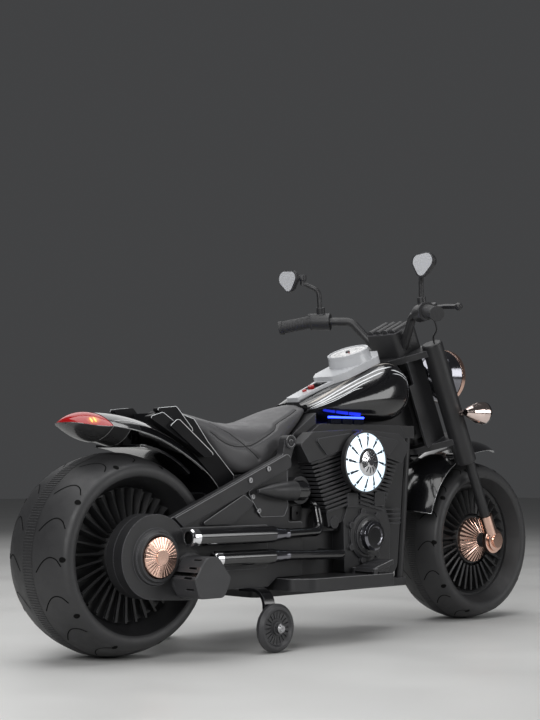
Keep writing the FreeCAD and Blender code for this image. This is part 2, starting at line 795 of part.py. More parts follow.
def fin_outer(t):
    """Outer edge of the cylinder at a height t along its lean: it widens towards the head."""
    return -cylinder_foot - (t - fin_start) * cylinder_flare


def fin_inner(t):
    """Inner edge, parallel to the middle of the V."""
    return t * math.tan(math.radians(cylinder_lean)) - cylinder_part


def cylinder():
    """Rear finned cylinder with its rocker box, leaning back from the foot of the V."""
    top = fin_start + fin_count * fin_pitch
    core_top = top + 20
    core = [(fin_outer(fin_start) + 6, 30), (fin_inner(30) - 6, 30), (fin_inner(core_top) - 6, core_top),
            (fin_outer(fin_start) + 6, core_top)]
    shapes = [side_prism(core, 8 - fin_face, -tub_half)]
    for i in range(fin_count):
        low = fin_start + i * fin_pitch
        shapes.append(block(fin_outer(low), fin_inner(low), -fin_face, -tub_half, low, low + fin_thickness))
    outer, inner = fin_outer(top) - 6, fin_inner(top)
    box = [(outer, top - 2, 3), (inner, top - 2), (inner + 7, top + 30, 3), (outer + 19, top + 46, 5),
           (outer - 14, top + 32, 5)]
    panel = [(outer + 40, top + 2, 3), (inner - 4, top + 2), (inner + 1, top + 25, 3),
             (outer + 20, top + 34, 4)]
    shapes.append(side_prism(box, -fin_face - 4, -rocker_inner))
    shapes.append(side_prism(panel, -fin_face - 8, -fin_face))
    whole = fused(shapes)
    whole.rotate(Vector(0, 0, 0), y_axis, -cylinder_lean)
    whole.translate(Vector(vee_x, 0, crank_z))
    return whole


def engine_cover():
    """Right engine cover: V-twin cylinders, crankcase with round cover and knob, cooler fins."""
    face = -fin_face
    case = side_prism([(eng(-52), board_top, 6), (eng(62), board_top, 6), (eng(64), 190, 8),
                       (eng(44), 236, 8),
                       (eng(-40), 236, 8), (eng(-54), 200, 8)], face + 4, -tub_half)
    ring = turned([(0, -tub_half), (41, -tub_half), (41, face), (36, face - 2), (32, face - 2),
                   (32, face - 6),
                   (25, face - 8), (25, face - 18), (21, face - 21), (16, face - 21), (15, face - 19),
                   (0, face - 19)], eng(0), crank_z)
    stud = across(eng(-74), 196, face + 6, -tub_half, 10)
    saddle = side_prism([(eng(-110), 182), (eng(-50), 182), (eng(-50), 214), (eng(-110), 214, 12)],
                        -tub_half - 12, -tub_half)
    behind = cylinder()
    shapes = [behind, behind.mirror(Vector(vee_x, 0, 0), x_axis), case, ring, stud, saddle]
    for start in (-50, 18):
        tappet = [(eng(start), 222), (eng(start + 26), 222), (eng(start + 26), 246, 4),
                  (eng(start), 246, 4)]
        shapes.append(side_prism(tappet, face - 2, -tub_half))
    for i in range(4):
        shapes.append(block(eng(40), eng(104), -tub_half - 18, -tub_half, 190 + 8 * i, 192.5 + 8 * i))
    bolt = across(eng(43), crank_z, face - 1, -tub_half, 5.5)
    return fused(shapes + spin_copies(bolt, 7, eng(0), crank_z))


def engine(nodes):
    nodes["engine_covers"] = both(engine_cover())
    x, z = eng(air_back), air_z
    back = -fin_face - 7
    r = air_radius
    housing = turned([(0, -fin_face), (28, -fin_face), (28, back), (r - 4, back), (r, back - 4),
                      (r, back - 13),
                      (r - 3, back - 13), (r - 3, back - 8), (0, back - 8)], x, z)
    housing = housing.cut(engine_cover())
    cap_seat = back - 17
    lens = turned([(0, back - 8), (r - 3, back - 8), (r - 3, back - 12), (r - 15, back - 15),
                   (air_cap_radius, cap_seat), (0, cap_seat)], x, z)
    slot = block(x + 29, x + 44, back - 20, back - 10, z - 1.6, z + 1.6)
    slot.rotate(Vector(x + 29, 0, z), y_axis, 14)
    nodes["air_cleaner_lenses"] = both(lens.cut(spin_copies(slot, 12, x, z)))
    cap = turned([(0, cap_seat), (air_cap_radius, cap_seat), (air_cap_radius, cap_seat - 2),
                  (20, cap_seat - 5),
                  (8, cap_seat - 6.5), (6, cap_seat - 8), (0, cap_seat - 8)], x, z)
    notch = block(x + 9, x + 19, cap_seat - 9, cap_seat - 3.5, z - 1.1, z + 1.1)
    cap = cap.cut(spin_copies(notch, 12, x, z))
    nodes["air_cleaners"] = Part.makeCompound([housing, cap, mirrored(housing), mirrored(cap)])
    lamps = []
    for i in range(3):
        start = eng(-57 + 29 * i)
        lamps.append(block(start, start + 25, -tub_half - 2, -tub_half + 6,
                           tub_roof, tub_roof + light_height))
    nodes["light_bars"] = Part.makeCompound(lamps + [mirrored(lamp) for lamp in lamps])


def muffler(x0, x1, z, radius):
    """Straight muffler can tapering to its head pipe, with two pads against the swing arm."""
    length = x1 - x0
    can = turned_along([(0, 0), (0, radius), (length - 30, radius), (length - 22, radius - 1.5),
                        (length - 4, pipe_radius + 1), (length + 4, pipe_radius + 1), (length + 4, 0)],
                       Vector(x0, -muffler_y, z), x_axis)
    pads = [block(x - 6, x + 6, -muffler_y, -arm_out - panel_rise, z - 5, z + 5)
            for x in (rear(150), rear(226))]
    return [can] + pads


def exhaust(nodes):
    upper_start, lower_start, neck = rear(64), rear(112), rear(254)
    top = upper_muffler_z + riser_height
    upper = fused(muffler(upper_start, neck, upper_muffler_z, upper_muffler_radius) + [
        tube([Vector(neck, -muffler_y, upper_muffler_z), Vector(tub(158), riser_y, upper_muffler_z),
              Vector(tub(157), riser_y + 11, top), Vector(tub(157), -tub_half, top)], [18, 14],
             pipe_radius)])
    lower = fused(muffler(lower_start, neck, lower_muffler_z, lower_muffler_radius) + [
        tube([Vector(neck, -muffler_y, lower_muffler_z), Vector(eng(-84), -muffler_y, lower_muffler_z - 4),
              Vector(eng(-84), -tub_half, lower_muffler_z - 4)], [18], pipe_radius)])
    nodes["exhausts"] = Part.makeCompound([upper, lower, mirrored(upper), mirrored(lower)])
    tips = []
    for x, z, r in ((upper_start, upper_muffler_z, upper_muffler_radius),
                    (lower_start, lower_muffler_z, lower_muffler_radius)):
        band = [(0, r - 4), (0, r - 1), (3, r + 0.8), (tip_length, r + 0.8), (tip_length, 0), (6, 0),
                (6, r - 4)]
        tips.append(turned_along(band, Vector(x - tip_length, -muffler_y, z), x_axis))
    nodes["exhaust_tips"] = Part.makeCompound(tips + [mirrored(tip) for tip in tips])


def tank_half():
    """Right tank shell: teardrop from the rear tip at the seat to the round front at the neck."""
    back, front = eng(-102), head(-62)
    rows = [(0.0, -1, 386, 30, 390), (0.17, 0, 378, 56, 391), (0.4, 0, 376, 72, 402),
            (0.64, 0, 376, 82, 410),
            (0.84, 0, 378, 83, 416), (0.95, -16, 388, 72, 421), (1.0, -42, 406, 44, 426)]
    sections = []
    for t, sink, low, out, mid in rows:
        x = mix(back, front, t)
        top = max(spine_top(x), spine_rear_top - 8) + sink
        a = Vector(x, -spine_half, low)
        b = Vector(x, -spine_half, top)
        wide = Vector(x, -out, mid)
        above = Vector(x, -mix(spine_half, out, 0.76), mix(mid, top, 0.72))
        below = Vector(x, -mix(spine_half, out, 0.80), mix(mid, low, 0.80))
        sections.append(Part.Wire([Part.LineSegment(a, b).toShape(), Part.Arc(b, above, wide).toShape(),
                                   Part.Arc(wide, below, a).toShape()]))
    return Part.makeLoft(sections, True, False)


def console(nodes):
    """Sloping top console on the spine, with its gauge drum, switch panel, power button and rocker."""
    x0, x1 = eng(-82), head(-94)
    slope = math.degrees(math.atan2(spine_front_top - spine_rear_top, x1 - x0))
    length = (x1 - x0) / math.cos(math.radians(slope))
    place = Placement(Vector(x0, 0, spine_rear_top), Rotation(y_axis, -slope))
    centre = length - gauge_setback

    def laid(shape):
        placed = shape.copy()
        placed.Placement = place.multiply(placed.Placement)
        return placed

    strip = plan_prism(symmetric([(0, -15, 4), (60, -19), (96, -26)]), console_lift, console_thickness)
    deck = plan_prism(symmetric([(86, -24, 4), (108, -38, 8), (centre + 32, -41, 14),
                                 (length + 8, -12, 6)]),
                      console_lift, deck_thickness)
    foot = block(0, length, -spine_half + 4, spine_half - 4, 0, console_lift)
    r = gauge_radius
    drum = turned_along([(deck_thickness - 1, 0), (deck_thickness - 1, r + 2), (gauge_height - 6, r),
                         (gauge_height, r), (gauge_height, r - 5), (gauge_height - 3, r - 5),
                         (gauge_height - 3, 0)],
                        Vector(centre, 0, 0), z_axis)
    button_s, rocker_s, lamp_s = 52.0, 72.0, 34.0
    recess = plan_prism([(42, -13, 3), (82, -15, 3), (82, 15, 3), (42, 13, 3)], console_thickness - 2,
                        deck_thickness)
    holes = [recess, rod(Vector(button_s, 0, 0), Vector(button_s, 0, 20), button_radius + fit_gap),
             rod(Vector(lamp_s, 0, 5), Vector(lamp_s, 0, 20), 4),
             block(rocker_s - rocker_half - fit_gap, rocker_s + rocker_half + fit_gap,
                   -6 - fit_gap, 6 + fit_gap, console_lift - 1, 20)]
    nodes["console"] = laid(fused([strip, deck, foot, drum]).cut(holes))
    level = gauge_height - 3
    dial = turned_along([(level, 0), (level, r - 5), (level + 1.5, r - 5), (level + 1, r - 8), (level + 1, 0)],
                        Vector(centre, 0, 0), z_axis)
    lamp = rod(Vector(lamp_s, 0, 5), Vector(lamp_s, 0, console_thickness + 3), 4)
    nodes["gauge_dial"] = laid(Part.makeCompound([dial, lamp]))
    nodes["power_button"] = laid(rod(Vector(button_s, 0, 4), Vector(button_s, 0, console_thickness + 4),
                                     button_radius))
    rocker = side_prism([(-rocker_half, 4), (rocker_half, 4), (rocker_half, 9, 1), (0, 8),
                         (-rocker_half, 12, 1)], -6, 6)
    rocker.translate(Vector(rocker_s, 0, 0))
    nodes["direction_rocker"] = laid(rocker)


def seat_loft():
    """Saddle: raised rear, low middle, raised nose, sides drawn in below a crowned top."""
    back, front = tub(-seat_overhang), eng(-84)
    rows = [(0.0, 388, 377, 34), (0.13, 382, 352, 54), (0.27, 371, 314, 68), (0.42, 364, 278, 75),
            (0.53, 365, 281, 76), (0.69, 376, 312, 72), (0.85, 394, 350, 58), (1.0, 404, 384, 38)]
    sections = []
    for t, top, low, half in rows:
        x = mix(back, front, t)
        edge = top - 6 - 0.04 * half
        waist = mix(low, edge, 0.45)
        right = Vector(x, -0.86 * half, low)
        left = Vector(x, 0.86 * half, low)
        up_right = Vector(x, -0.74 * half, edge)
        up_left = Vector(x, 0.74 * half, edge)
        sections.append(Part.Wire([
            Part.LineSegment(left, right).toShape(),
            Part.Arc(right, Vector(x, -half, waist), up_right).toShape(),
            Part.Arc(up_right, Vector(x, 0, top), up_left).toShape(),
            Part.Arc(up_left, Vector(x, half, waist), left).toShape()]))
    return Part.makeLoft(sections, True, False)


def seat_pan():
    """Flat pan between the body's sloping top and the seat."""
    rise = seat_pan_thickness
    outline = [(tub(4), 250), (tub(100), 280), (eng(-84), tub_roof - 10), (eng(-84), tub_roof + rise),
               (tub(148), 334 + rise, 20), (tub(98), 296 + rise), (tub(33), 262 + rise, 20),
               (tub(4), 258 + rise)]
    body_top = side_prism(tub_outline(), -tub_half, tub_half)
    return side_prism(outline, -seat_pan_half, seat_pan_half).cut(body_top)


# Rear fender crest: x and z from the rear axle, lean of the crest, half width and drop to the edge
fender_rows = [(172, 246, 20, 80, 12), (142, 302, 42, 80, 26), (96, 341, 60, 78, 33), (40, 364, 74, 74, 30),
               (-10, 373, 86, 70, 26), (-46, 374, 94, 63, 22)]
# Tail lamp: chord x and z, half width, rise of the lens above it, depth of the base below it
tail_rows = [(-46, 352, 60, 22, 24), (-68, 353, 51, 20, 15), (-83, 356, 34, 11, 7), (-90, 358, 15, 3, 2)]


def fender_rear():
    sections = [arch_section(rear(x), z, lean, half, drop) for x, z, lean, half, drop in fender_rows]
    ear = block(rear(166), tub(0), -30, 30, 236, 248)
    return fused([Part.makeLoft(sections, True, False), ear])


def fender_core():
    """Everything under the rear fender's outer surface."""
    sections = []
    for x, z, lean, half, drop in fender_rows:
        crest = Vector(rear(x), 0, z)
        edge = crest - outward(lean) * drop
        deep = edge - outward(lean) * 20
        side = y_axis * half
        sections.append(Part.Wire([
            Part.Arc(edge - side, crest, edge + side).toShape(),
            Part.LineSegment(edge + side, deep + side).toShape(),
            Part.LineSegment(deep + side, deep - side).toShape(),
            Part.LineSegment(deep - side, edge - side).toShape()]))
    return Part.makeLoft(sections, True, False)


def tail(nodes):
    """Rear fender, tail lamp lens, tail base with its inner guard, and the cowl behind the seat."""
    fender = fender_rear()
    first = fender_rows[-1]
    plane = Vector(rear(first[0]), 0, first[1]) - outward(first[2]) * first[4]
    lens_sections = [bow_section(plane.x, plane.z, first[2], first[3] - 1, first[4] - 1)]
    base_sections = [bow_section(plane.x, plane.z, first[2] + 180, first[3] - 1, tail_rows[0][4])]
    for x, z, half, rise, depth in tail_rows[1:]:
        lens_sections.append(bow_section(rear(x), z, 90, half, rise))
        base_sections.append(bow_section(rear(x), z, 270, half, depth))
    lens = Part.makeLoft(lens_sections, True, False)
    base = Part.makeLoft(base_sections, True, False)
    inner_sections = [bow_section(rear(-6), 350, 270, 56, 28),
                      bow_section(plane.x, plane.z, first[2] + 180, 57, tail_rows[0][4] - 3)]
    inner = Part.makeLoft(inner_sections, True, False)
    post = block(rear(-36), rear(-16), -16, 16, 336, 372)
    guard_face = Part.Face(Part.makePolygon([
        Vector(rear_x + r, y, rear_z)
        for r, y in ((guard_inner, -56), (guard_inner + 4, -56), (guard_inner + 4, 56), (guard_inner, 56),
                     (guard_inner, -56))]))
    guard_face.rotate(Vector(rear_x, 0, rear_z), y_axis, -48)
    guard = guard_face.revolve(Vector(rear_x, 0, rear_z), y_axis, -38)
    rib = block(rear(30), rear(46), -10, 10, rear_z + guard_inner, 372).common(fender_core())
    nodes["rear_fender"] = fender
    nodes["tail_lamp_lens"] = lens
    nodes["tail_base"] = fused([base, inner, guard, post, rib]).cut([fender, lens])
    cowl = seat_cowl().cut([seat_loft(), fender_core(), seat_pan(),
                            side_prism(tub_outline(), -tub_half, tub_half)])
    cowl = cowl.cut(fender)
    nodes["seat_cowl"] = max(cowl.Solids, key=lambda piece: piece.Volume)


def seat_cowl():
    """Cowl under the rear of the seat, with three swept fins on each side."""
    outline = [(rear(82), 340), (rear(84), 376), (rear(120), 366), (rear(150), 330), (tub(6), 276),
               (tub(2), 258),
               (rear(176), 258), (rear(150), 284), (rear(108), 322)]
    fins = [(60, [(37, 381, 3), (80, 385, 6), (122, 342, 6), (98, 342, 4)]),
            (66, [(20, 367, 3), (48, 375, 6), (138, 320, 6), (110, 320, 4)]),
            (72, [(58, 354, 2), (74, 366, 8), (154, 306, 4), (128, 306, 4)])]
    shapes = [side_prism(outline, -56, 56)]
    for reach, corners in fins:
        fin = side_prism([(rear(x), z, r) for x, z, r in corners], -reach, -48)
        shapes += [fin, mirrored(fin)]
    return fused(shapes)


def upper_body(nodes):
    console(nodes)
    nodes["seat_pan"] = seat_pan()
    nodes["seat_pad"] = seat_loft().cut(nodes["seat_pan"])
    nodes["tank_halves"] = both(tank_half().cut([nodes["console"], nodes["seat_pan"], seat_loft()]))
    tail(nodes)


def training_wheels(nodes):
    """Training wheels on flat bars bent down from under the swing arms."""
    x, z = tub(trainer_x), trainer_radius
    half_t = trainer_bar_thickness / 2
    half_w = trainer_bar_width / 2
    top = arm_floor - half_t
    inner = trainer_y - trainer_width / 2
    bar_y = inner - 4 - half_t
    start_y = -pan_half - 1
    path = [(Vector(x, start_y, top), 0), (Vector(x, -bar_y, top), trainer_bend),
            (Vector(x, -bar_y, z - 14), 0)]
    section = [Vector(x - half_w, start_y, top - half_t), Vector(x + half_w, start_y, top - half_t),
               Vector(x + half_w, start_y, top + half_t), Vector(x - half_w, start_y, top + half_t)]
    bar = Part.Wire(rounded_edges(path, False)).makePipeShell(
        [Part.makePolygon(section + section[:1])], True, False)
    nodes["training_arms"] = both(bar.cut(across(x, z, -trainer_y, 0, trainer_bolt_radius)))
    outer = trainer_y + trainer_width / 2
    bore = trainer_bolt_radius + running_gap
    r = trainer_radius
    wheel = turned([(bore, -inner), (11, -inner), (11, -inner - 4), (26, -inner - 4), (29, -inner),
                    (r - 5, -inner),
                    (r, -inner - 5), (r, -outer + 5), (r - 5, -outer), (29, -outer), (26, -outer + 4),
                    (11, -outer + 4), (11, -outer - 1), (bore, -outer - 1)], x, z)
    slot = block(x + 14, x + 25, -outer, -outer + 6.5, z - 0.9, z + 0.9)
    wheel = wheel.cut(spin_copies(slot, trainer_slots, x, z))
    nodes["training_wheel_right"] = wheel
    nodes["training_wheel_left"] = mirrored(wheel)
    nut = -outer - 1 - fit_gap
    back = -bar_y + half_t
    bolt = fused([across(x, z, nut, back, trainer_bolt_radius), across(x, z, back, back + 4, 8),
                  across(x, z, -inner + fit_gap, -bar_y - half_t, 8),
                  turned([(0, nut), (8, nut), (8, nut - 5), (5, nut - 8), (0, nut - 8)], x, z)])
    nodes["fasteners"] = Part.makeCompound([nodes["fasteners"], bolt, mirrored(bolt)])


def pedal(nodes):
    """Wedge pedal hinged at its heel on the right foot board, with a switch block under it."""
    y0, y1 = pedal_outer, pedal_inner
    heel, toe = eng(-32), eng(16)
    pin_z = board_top + 5
    wedge = side_prism([(heel - 5, pin_z - 1), (heel, pin_z - 4), (heel + 14, pin_z), (toe, board_top + 15),
                        (toe, board_top + 23, 2), (heel + 18, pin_z + 10, 8), (heel, pin_z + 5)], y0, y1)
    grooves = []
    for i in range(4):
        start = heel + 13 + 8.5 * i
        grooves.append(block(start, start + 3, y0 + 5, y1 - 5, pin_z + 6.4 + 2.9 * i, pin_z + 30))
    hole = across(heel, pin_z, y0, y1, pedal_pin_radius + running_gap)
    nodes["accelerator_pedal"] = wedge.cut(grooves + [hole])
    ears = [block(heel - 4, heel + 4, y0 - 4, y0 - fit_gap, board_top, pin_z + 4),
            block(heel - 4, heel + 4, y1 + fit_gap, y1 + 4, board_top, pin_z + 4)]
    pin = across(heel, pin_z, y0 - 4, y1 + 4, pedal_pin_radius)
    switch = block(heel + 26, heel + 38, -130, -116, board_top, board_top + 2.5)
    nodes["floor_pan"] = Part.makeCompound([nodes["floor_pan"], fused(ears + [pin]), switch])


def fork_cover():
    cover = rod(Vector(cover_u, -fork_half, cover_low), Vector(cover_u, -fork_half, cover_high),
                cover_radius)
    return cover.makeFillet(4, [cover.Edges[0], cover.Edges[2]])


def fork_slider():
    return rod(Vector(fork_offset, -fork_half, slider_foot - fork_drop),
               Vector(fork_offset, -fork_half, cover_low + slider_socket), slider_radius)


def steering(nodes):
    cover, slider = fork_cover(), fork_slider()
    nodes["fork_covers"] = in_fork(both(cover.cut(slider)))
    nodes["fork_sliders"] = in_fork(both(slider))
    axle = across(front_x, front_z, -fork_half - 6, fork_half + 6, axle_radius)
    nodes["front_axle"] = Part.makeCompound([axle, axle_clamp(), mirrored(axle_clamp())])
    nodes["fork_crown"] = in_fork(fork_crown().cut([cover, mirrored(cover)]))
    front_fender(nodes)
    headlight(nodes)
    nodes["indicators"] = both(indicator())


def axle_clamp():
    """Clamp sleeve on the slider's foot with the stepped axle cap."""
    sleeve = rod(Vector(fork_offset, -fork_half, 12 - fork_drop),
                 Vector(fork_offset, -fork_half, 52 - fork_drop),
                 clamp_radius)
    y = -fork_half
    cap = turned([(0, clamp_face()), (21, clamp_face()), (24, y + 5), (24, y - 3), (20, y - 4), (20, y - 9),
                  (14, y - 10), (14, y - 14), (0, y - 14)], front_x, front_z)
    holes = [in_fork(fork_slider()), across(front_x, front_z, y - 6, y + 20, axle_radius)]
    return fused([in_fork(sleeve), cap]).cut(holes)


def fork_crown():
    """Upper and lower crown plates joined by a shroud round the head tube, with the steering stem.

    The shroud's upper rear corners are cut back, so that they swing clear of the tank's front.
    """
    tip = fork_half + 8
    plan = symmetric([(-28, -16, 14), (cover_u - 14, -tip, 8), (cover_u + 14, -tip, 8),
                      (cover_u + 12, -20)])
    front = cover_u - 4
    low, high = crown_low - 1, crown_high + 1
    shapes = [plan_prism(plan, w, w + crown_thickness) for w in (crown_high, crown_low - crown_thickness)]
    for y in (-shroud_half, shroud_half - shroud_wall):
        relief = block(shroud_back - 1, shroud_back + shroud_relief, y - 1, y + shroud_wall + 1,
                       shroud_relief_low, high + 1)
        shapes.append(block(shroud_back, front, y, y + shroud_wall, low, high).cut(relief))
    shapes.append(block(front - shroud_wall, front, -shroud_half, shroud_half, low, high))
    shapes.append(rod(Vector(0, 0, crown_low - crown_thickness), Vector(0, 0, crown_high + 1), stem_radius))
    return fused(shapes)


def front_fender(nodes):
    """Arched front fender with a flared rear edge and a rounded front tip, held at the fork sliders."""
    rows = [(162, 192, 64, 18), (143, 190, 58, 21), (124, 190, 53, 24), (106, 190, 52, 24),
            (90, 191, 50, 22),
            (77, 193, 43, 17), (67, 191, 26, 9)]
    sections = []
    for angle, radius, half, drop in rows:
        crest = Vector(front_x, 0, front_z) + outward(angle) * radius
        sections.append(arch_section(crest.x, crest.z, angle, half, drop))
    arch = Part.makeLoft(sections, True, False)
    hold_w = cover_low + 12
    lug = in_fork(rod(Vector(cover_u, -fork_half, hold_w), Vector(cover_u, -34, hold_w), 6)
                  .cut(fork_cover()))
    nodes["front_fender"] = fused([arch, lug, mirrored(lug)])


def headlight(nodes):
    """Headlight bucket on a bracket from the shroud, with its bezel ring and lens."""
    back, front = head(headlight_back), head(headlight_front)
    depth = front - back
    r = headlight_radius
    bucket = turned_along([(0, 0), (0, 20), (14, 34), (40, r - 4), (depth, r), (depth, r - 3), (42, r - 8),
                           (16, 30), (4, 16), (4, 0)], Vector(back, 0, headlight_z), x_axis)
    bracket = rod(Vector(head(-30), 0, headlight_z), Vector(back + 2, 0, headlight_z), 11)
    behind = in_fork(block(-200, cover_u - 4, -60, 60, -200, 200))
    nodes["headlight_bucket"] = fused([bucket, bracket.cut(behind)])
    ring = turned_along([(0, r - 6), (0, r + 1), (9, r + 1), (12, r - 3), (12, r - 6)],
                        Vector(front, 0, headlight_z), x_axis)
    lens = turned_along([(0, 0), (0, r - 6), (8, r - 6), (13, r - 22), (14.5, 0)],
                        Vector(front, 0, headlight_z), x_axis)
    nodes["headlight_lens"] = Part.makeCompound([ring, lens])


def indicator():
    """Bullet indicator on a short stalk from the fork cover."""
    root = fork_point(cover_u, -fork_half, indicator_w)
    y = -fork_half - indicator_reach
    start = root.x - 14
    stalk = rod(root, Vector(start + 16, y, root.z), 5).cut(in_fork(fork_cover()))
    bullet = turned_along([(0, 0), (0, 6), (14, 12), (34, 19), (48, 21), (52, 21), (52, 18), (55, 16),
                           (58, 0)],
                          Vector(start, y, root.z), x_axis)
    return fused([stalk, bullet])


# Handlebar line of the right side, about the steering axis: root, bend, grip inner end, grip outer end
bar_root = Vector(6, -34, 118)
bar_bend = Vector(6, -76, 176)
grip_inner = Vector(-30, -144, 194)
grip_outer = Vector(-65, -195, 198)
mirror_joint = Vector(-14, -150, 268)


def handlebar(nodes):
    along = (grip_outer - grip_inner).normalize()
    cross = (grip_inner - bar_bend).normalize()
    bar = tube([bar_root, bar_bend, grip_inner, grip_outer - along * 4], [24, 50], bar_radius)
    nodes["handlebars"] = in_fork(both(bar))
    start = grip_inner - along * 2
    grip = fused([rod(start, grip_outer, grip_radius), rod(start, start + along * 4, grip_radius + 4),
                  rod(grip_outer - along * 7, grip_outer, grip_radius + 1.2)])
    nodes["grips"] = in_fork(both(grip.cut(bar)))
    pod_start = grip_inner - cross * 38
    pod = rod(pod_start, grip_inner + cross * 6, pod_radius).cut(rod(start, start + along * 40, 40))
    stem_base = grip_inner - cross * 20
    collar = rod(stem_base, stem_base + Vector(8, 2, 26), 8)
    stem = tube([stem_base + Vector(4, 1, 18), Vector(-2, -127, 246), mirror_joint], [16],
                mirror_stem_radius)
    right = fused([pod, collar] + perch_lugs()).cut([bar, stem, lever_room()])
    left = mirrored(fused([pod, collar]).cut([bar, stem]))
    nodes["switch_housings"] = in_fork(Part.makeCompound([right, left]))
    joint = fork_point(*mirror_joint)
    pin = rod(joint, joint + Vector(0, 0, mirror_rest + 11), mirror_pin_radius)
    rest = rod(joint + Vector(0, 0, -5), joint + Vector(0, 0, mirror_rest), mirror_stem_radius + 0.5)
    nodes["mirror_stems"] = both(fused([in_fork(stem), rest, pin]))
    nodes["handlebar_box"] = in_fork(handlebar_box().cut([bar, mirrored(bar)]))
    lever(nodes)
    mirrors(nodes, joint)
    cable(nodes)


def perch_lugs():
    """Two lugs in front of the right housing, with the lever's pivot pin between them."""
    gap = lever_thickness / 2 + fit_gap
    shapes = []
    for low, high in ((-8.0, -gap), (gap, 8.0)):
        plan = [(-30, lever_y - 9), (lever_u + 7, lever_y - 9, 6), (lever_u + 7, lever_y + 9, 6),
                (-30, lever_y + 9)]
        shapes.append(plan_prism(plan, lever_w + low, lever_w + high))
    shapes.append(rod(Vector(lever_u, lever_y, lever_w - 8), Vector(lever_u, lever_y, lever_w + 8),
                      lever_pin_radius))
    return shapes


def lever_room():
    """Room for the lever's eye between the lugs, round the pin."""
    reach = lever_thickness / 2 + fit_gap
    low, high = Vector(lever_u, lever_y, lever_w - reach), Vector(lever_u, lever_y, lever_w + reach)
    return rod(low, high, 9).cut(rod(low, high, lever_pin_radius))


def lever(nodes):
    """Brake lever with its ball end."""
    low, high = lever_w - lever_thickness / 2, lever_w + lever_thickness / 2
    eye = rod(Vector(lever_u, lever_y, low), Vector(lever_u, lever_y, high), 7)
    blade = plan_prism([(lever_u - 5, lever_y), (lever_u + 5, lever_y), (lever_u + 6, lever_y - 30, 20),
                        (lever_u - 3, lever_y - 64, 2), (lever_u - 10, lever_y - 62, 2),
                        (lever_u - 4, lever_y - 30, 20)], low, high)
    ball = Part.makeSphere(7, Vector(lever_u - 7, lever_y - 65, lever_w))
    hole = rod(Vector(lever_u, lever_y, low - 1), Vector(lever_u, lever_y, high + 1),
               lever_pin_radius + running_gap)
    nodes["brake_lever"] = in_fork(fused([eye, blade, ball]).cut(hole))


def mirrors(nodes, joint):
    """Teardrop mirror facing back, its lug turning on the stem's pin; housing and glass."""
    foot = joint + Vector(0, 0, mirror_rest)
    lug = rod(foot + Vector(0, 0, fit_gap), foot + Vector(0, 0, 11), 7)
    face_x = joint.x - 24
    centre = Vector(face_x, joint.y - 27, joint.z + 3)
    corners = [(Vector(0, -42, 25), 15), (Vector(0, 42, 17), 13), (Vector(0, 16, -29), 12)]
    middle = Vector(0, 2, 4)

    def outline(depth, share):
        shift = Vector(depth, 0, 0) + centre + middle
        return closed_face([(shift + (p - middle) * share, r * share) for p, r in corners])

    rows = [(0, 1.0), (7, 1.0), (14, 0.82), (18, 0.5)]
    shell = Part.makeLoft([outline(depth, share).OuterWire for depth, share in rows], True, True)
    glass = outline(0, 0.9).extrude(Vector(2, 0, 0))
    neck = rod(foot + Vector(-12, -2, 6), foot + Vector(0, 0, 6), 4)
    back = fused([shell.cut(glass), lug, neck]).cut(rod(joint, foot + Vector(0, 0, 20),
                                                        mirror_pin_radius + running_gap))
    nodes["mirror_right"] = Part.makeCompound([back, glass])
    nodes["mirror_left"] = mirrored(nodes["mirror_right"])


def handlebar_box():
    """Handlebar box on the upper crown, with ribs along its top."""
    low = crown_high + crown_thickness
    high = low + box_height
    shell = plan_prism(symmetric([(-12, -36, 12), (46, -42, 14), (54, -20, 10)]), low, high)
    ribs = [rod(Vector(-6, -27 + 18 * i, high), Vector(44, -27 + 18 * i, high), 7) for i in range(4)]
    return fused([shell] + ribs)


def cable(nodes):
    """Brake cable from the lever perch down to the top of the right fork cover."""
    points = [Vector(lever_u - 4, lever_y + 4, lever_w - 8), Vector(lever_u - 2, lever_y + 2, lever_w - 26),
              Vector(lever_u + 12, lever_y + 14, lever_w - 46),
              Vector(cover_u, -fork_half - 8, cover_high + 12),
              Vector(cover_u, -fork_half - 6, cover_high)]
    radii = []
    for a, b, c in zip(points, points[1:], points[2:]):
        turn = (b - a).getAngle(c - b)
        radii.append(0.45 * min((b - a).Length, (c - b).Length) / math.tan(turn / 2))
    print("brake cable bend radii", [round(r, 1) for r in radii])
    nodes["brake_cable"] = in_fork(tube(points, radii, cable_radius).cut([fork_cover()] + perch_lugs()))


def main():
    nodes = {}
    wheels(nodes)
    drive(nodes)
    body(nodes)
    engine(nodes)
    exhaust(nodes)
    upper_body(nodes)
    training_wheels(nodes)
    pedal(nodes)
    steering(nodes)
    handlebar(nodes)
    os.makedirs("parts", exist_ok=True)
    for name, shape in nodes.items():
        shape.exportStep("parts/" + name + ".step")
    print("wheelbase", round(wheelbase, 2), "rear axle x", round(rear_x, 2), "head x", round(head_x, 2))
    print("motor", motor_point, "idler", idler_point)
    print("nodes", len(nodes))


main()
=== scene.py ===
import math

import bmesh
import bpy
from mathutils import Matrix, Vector
from mathutils.bvhtree import BVHTree
from mathutils.kdtree import KDTree


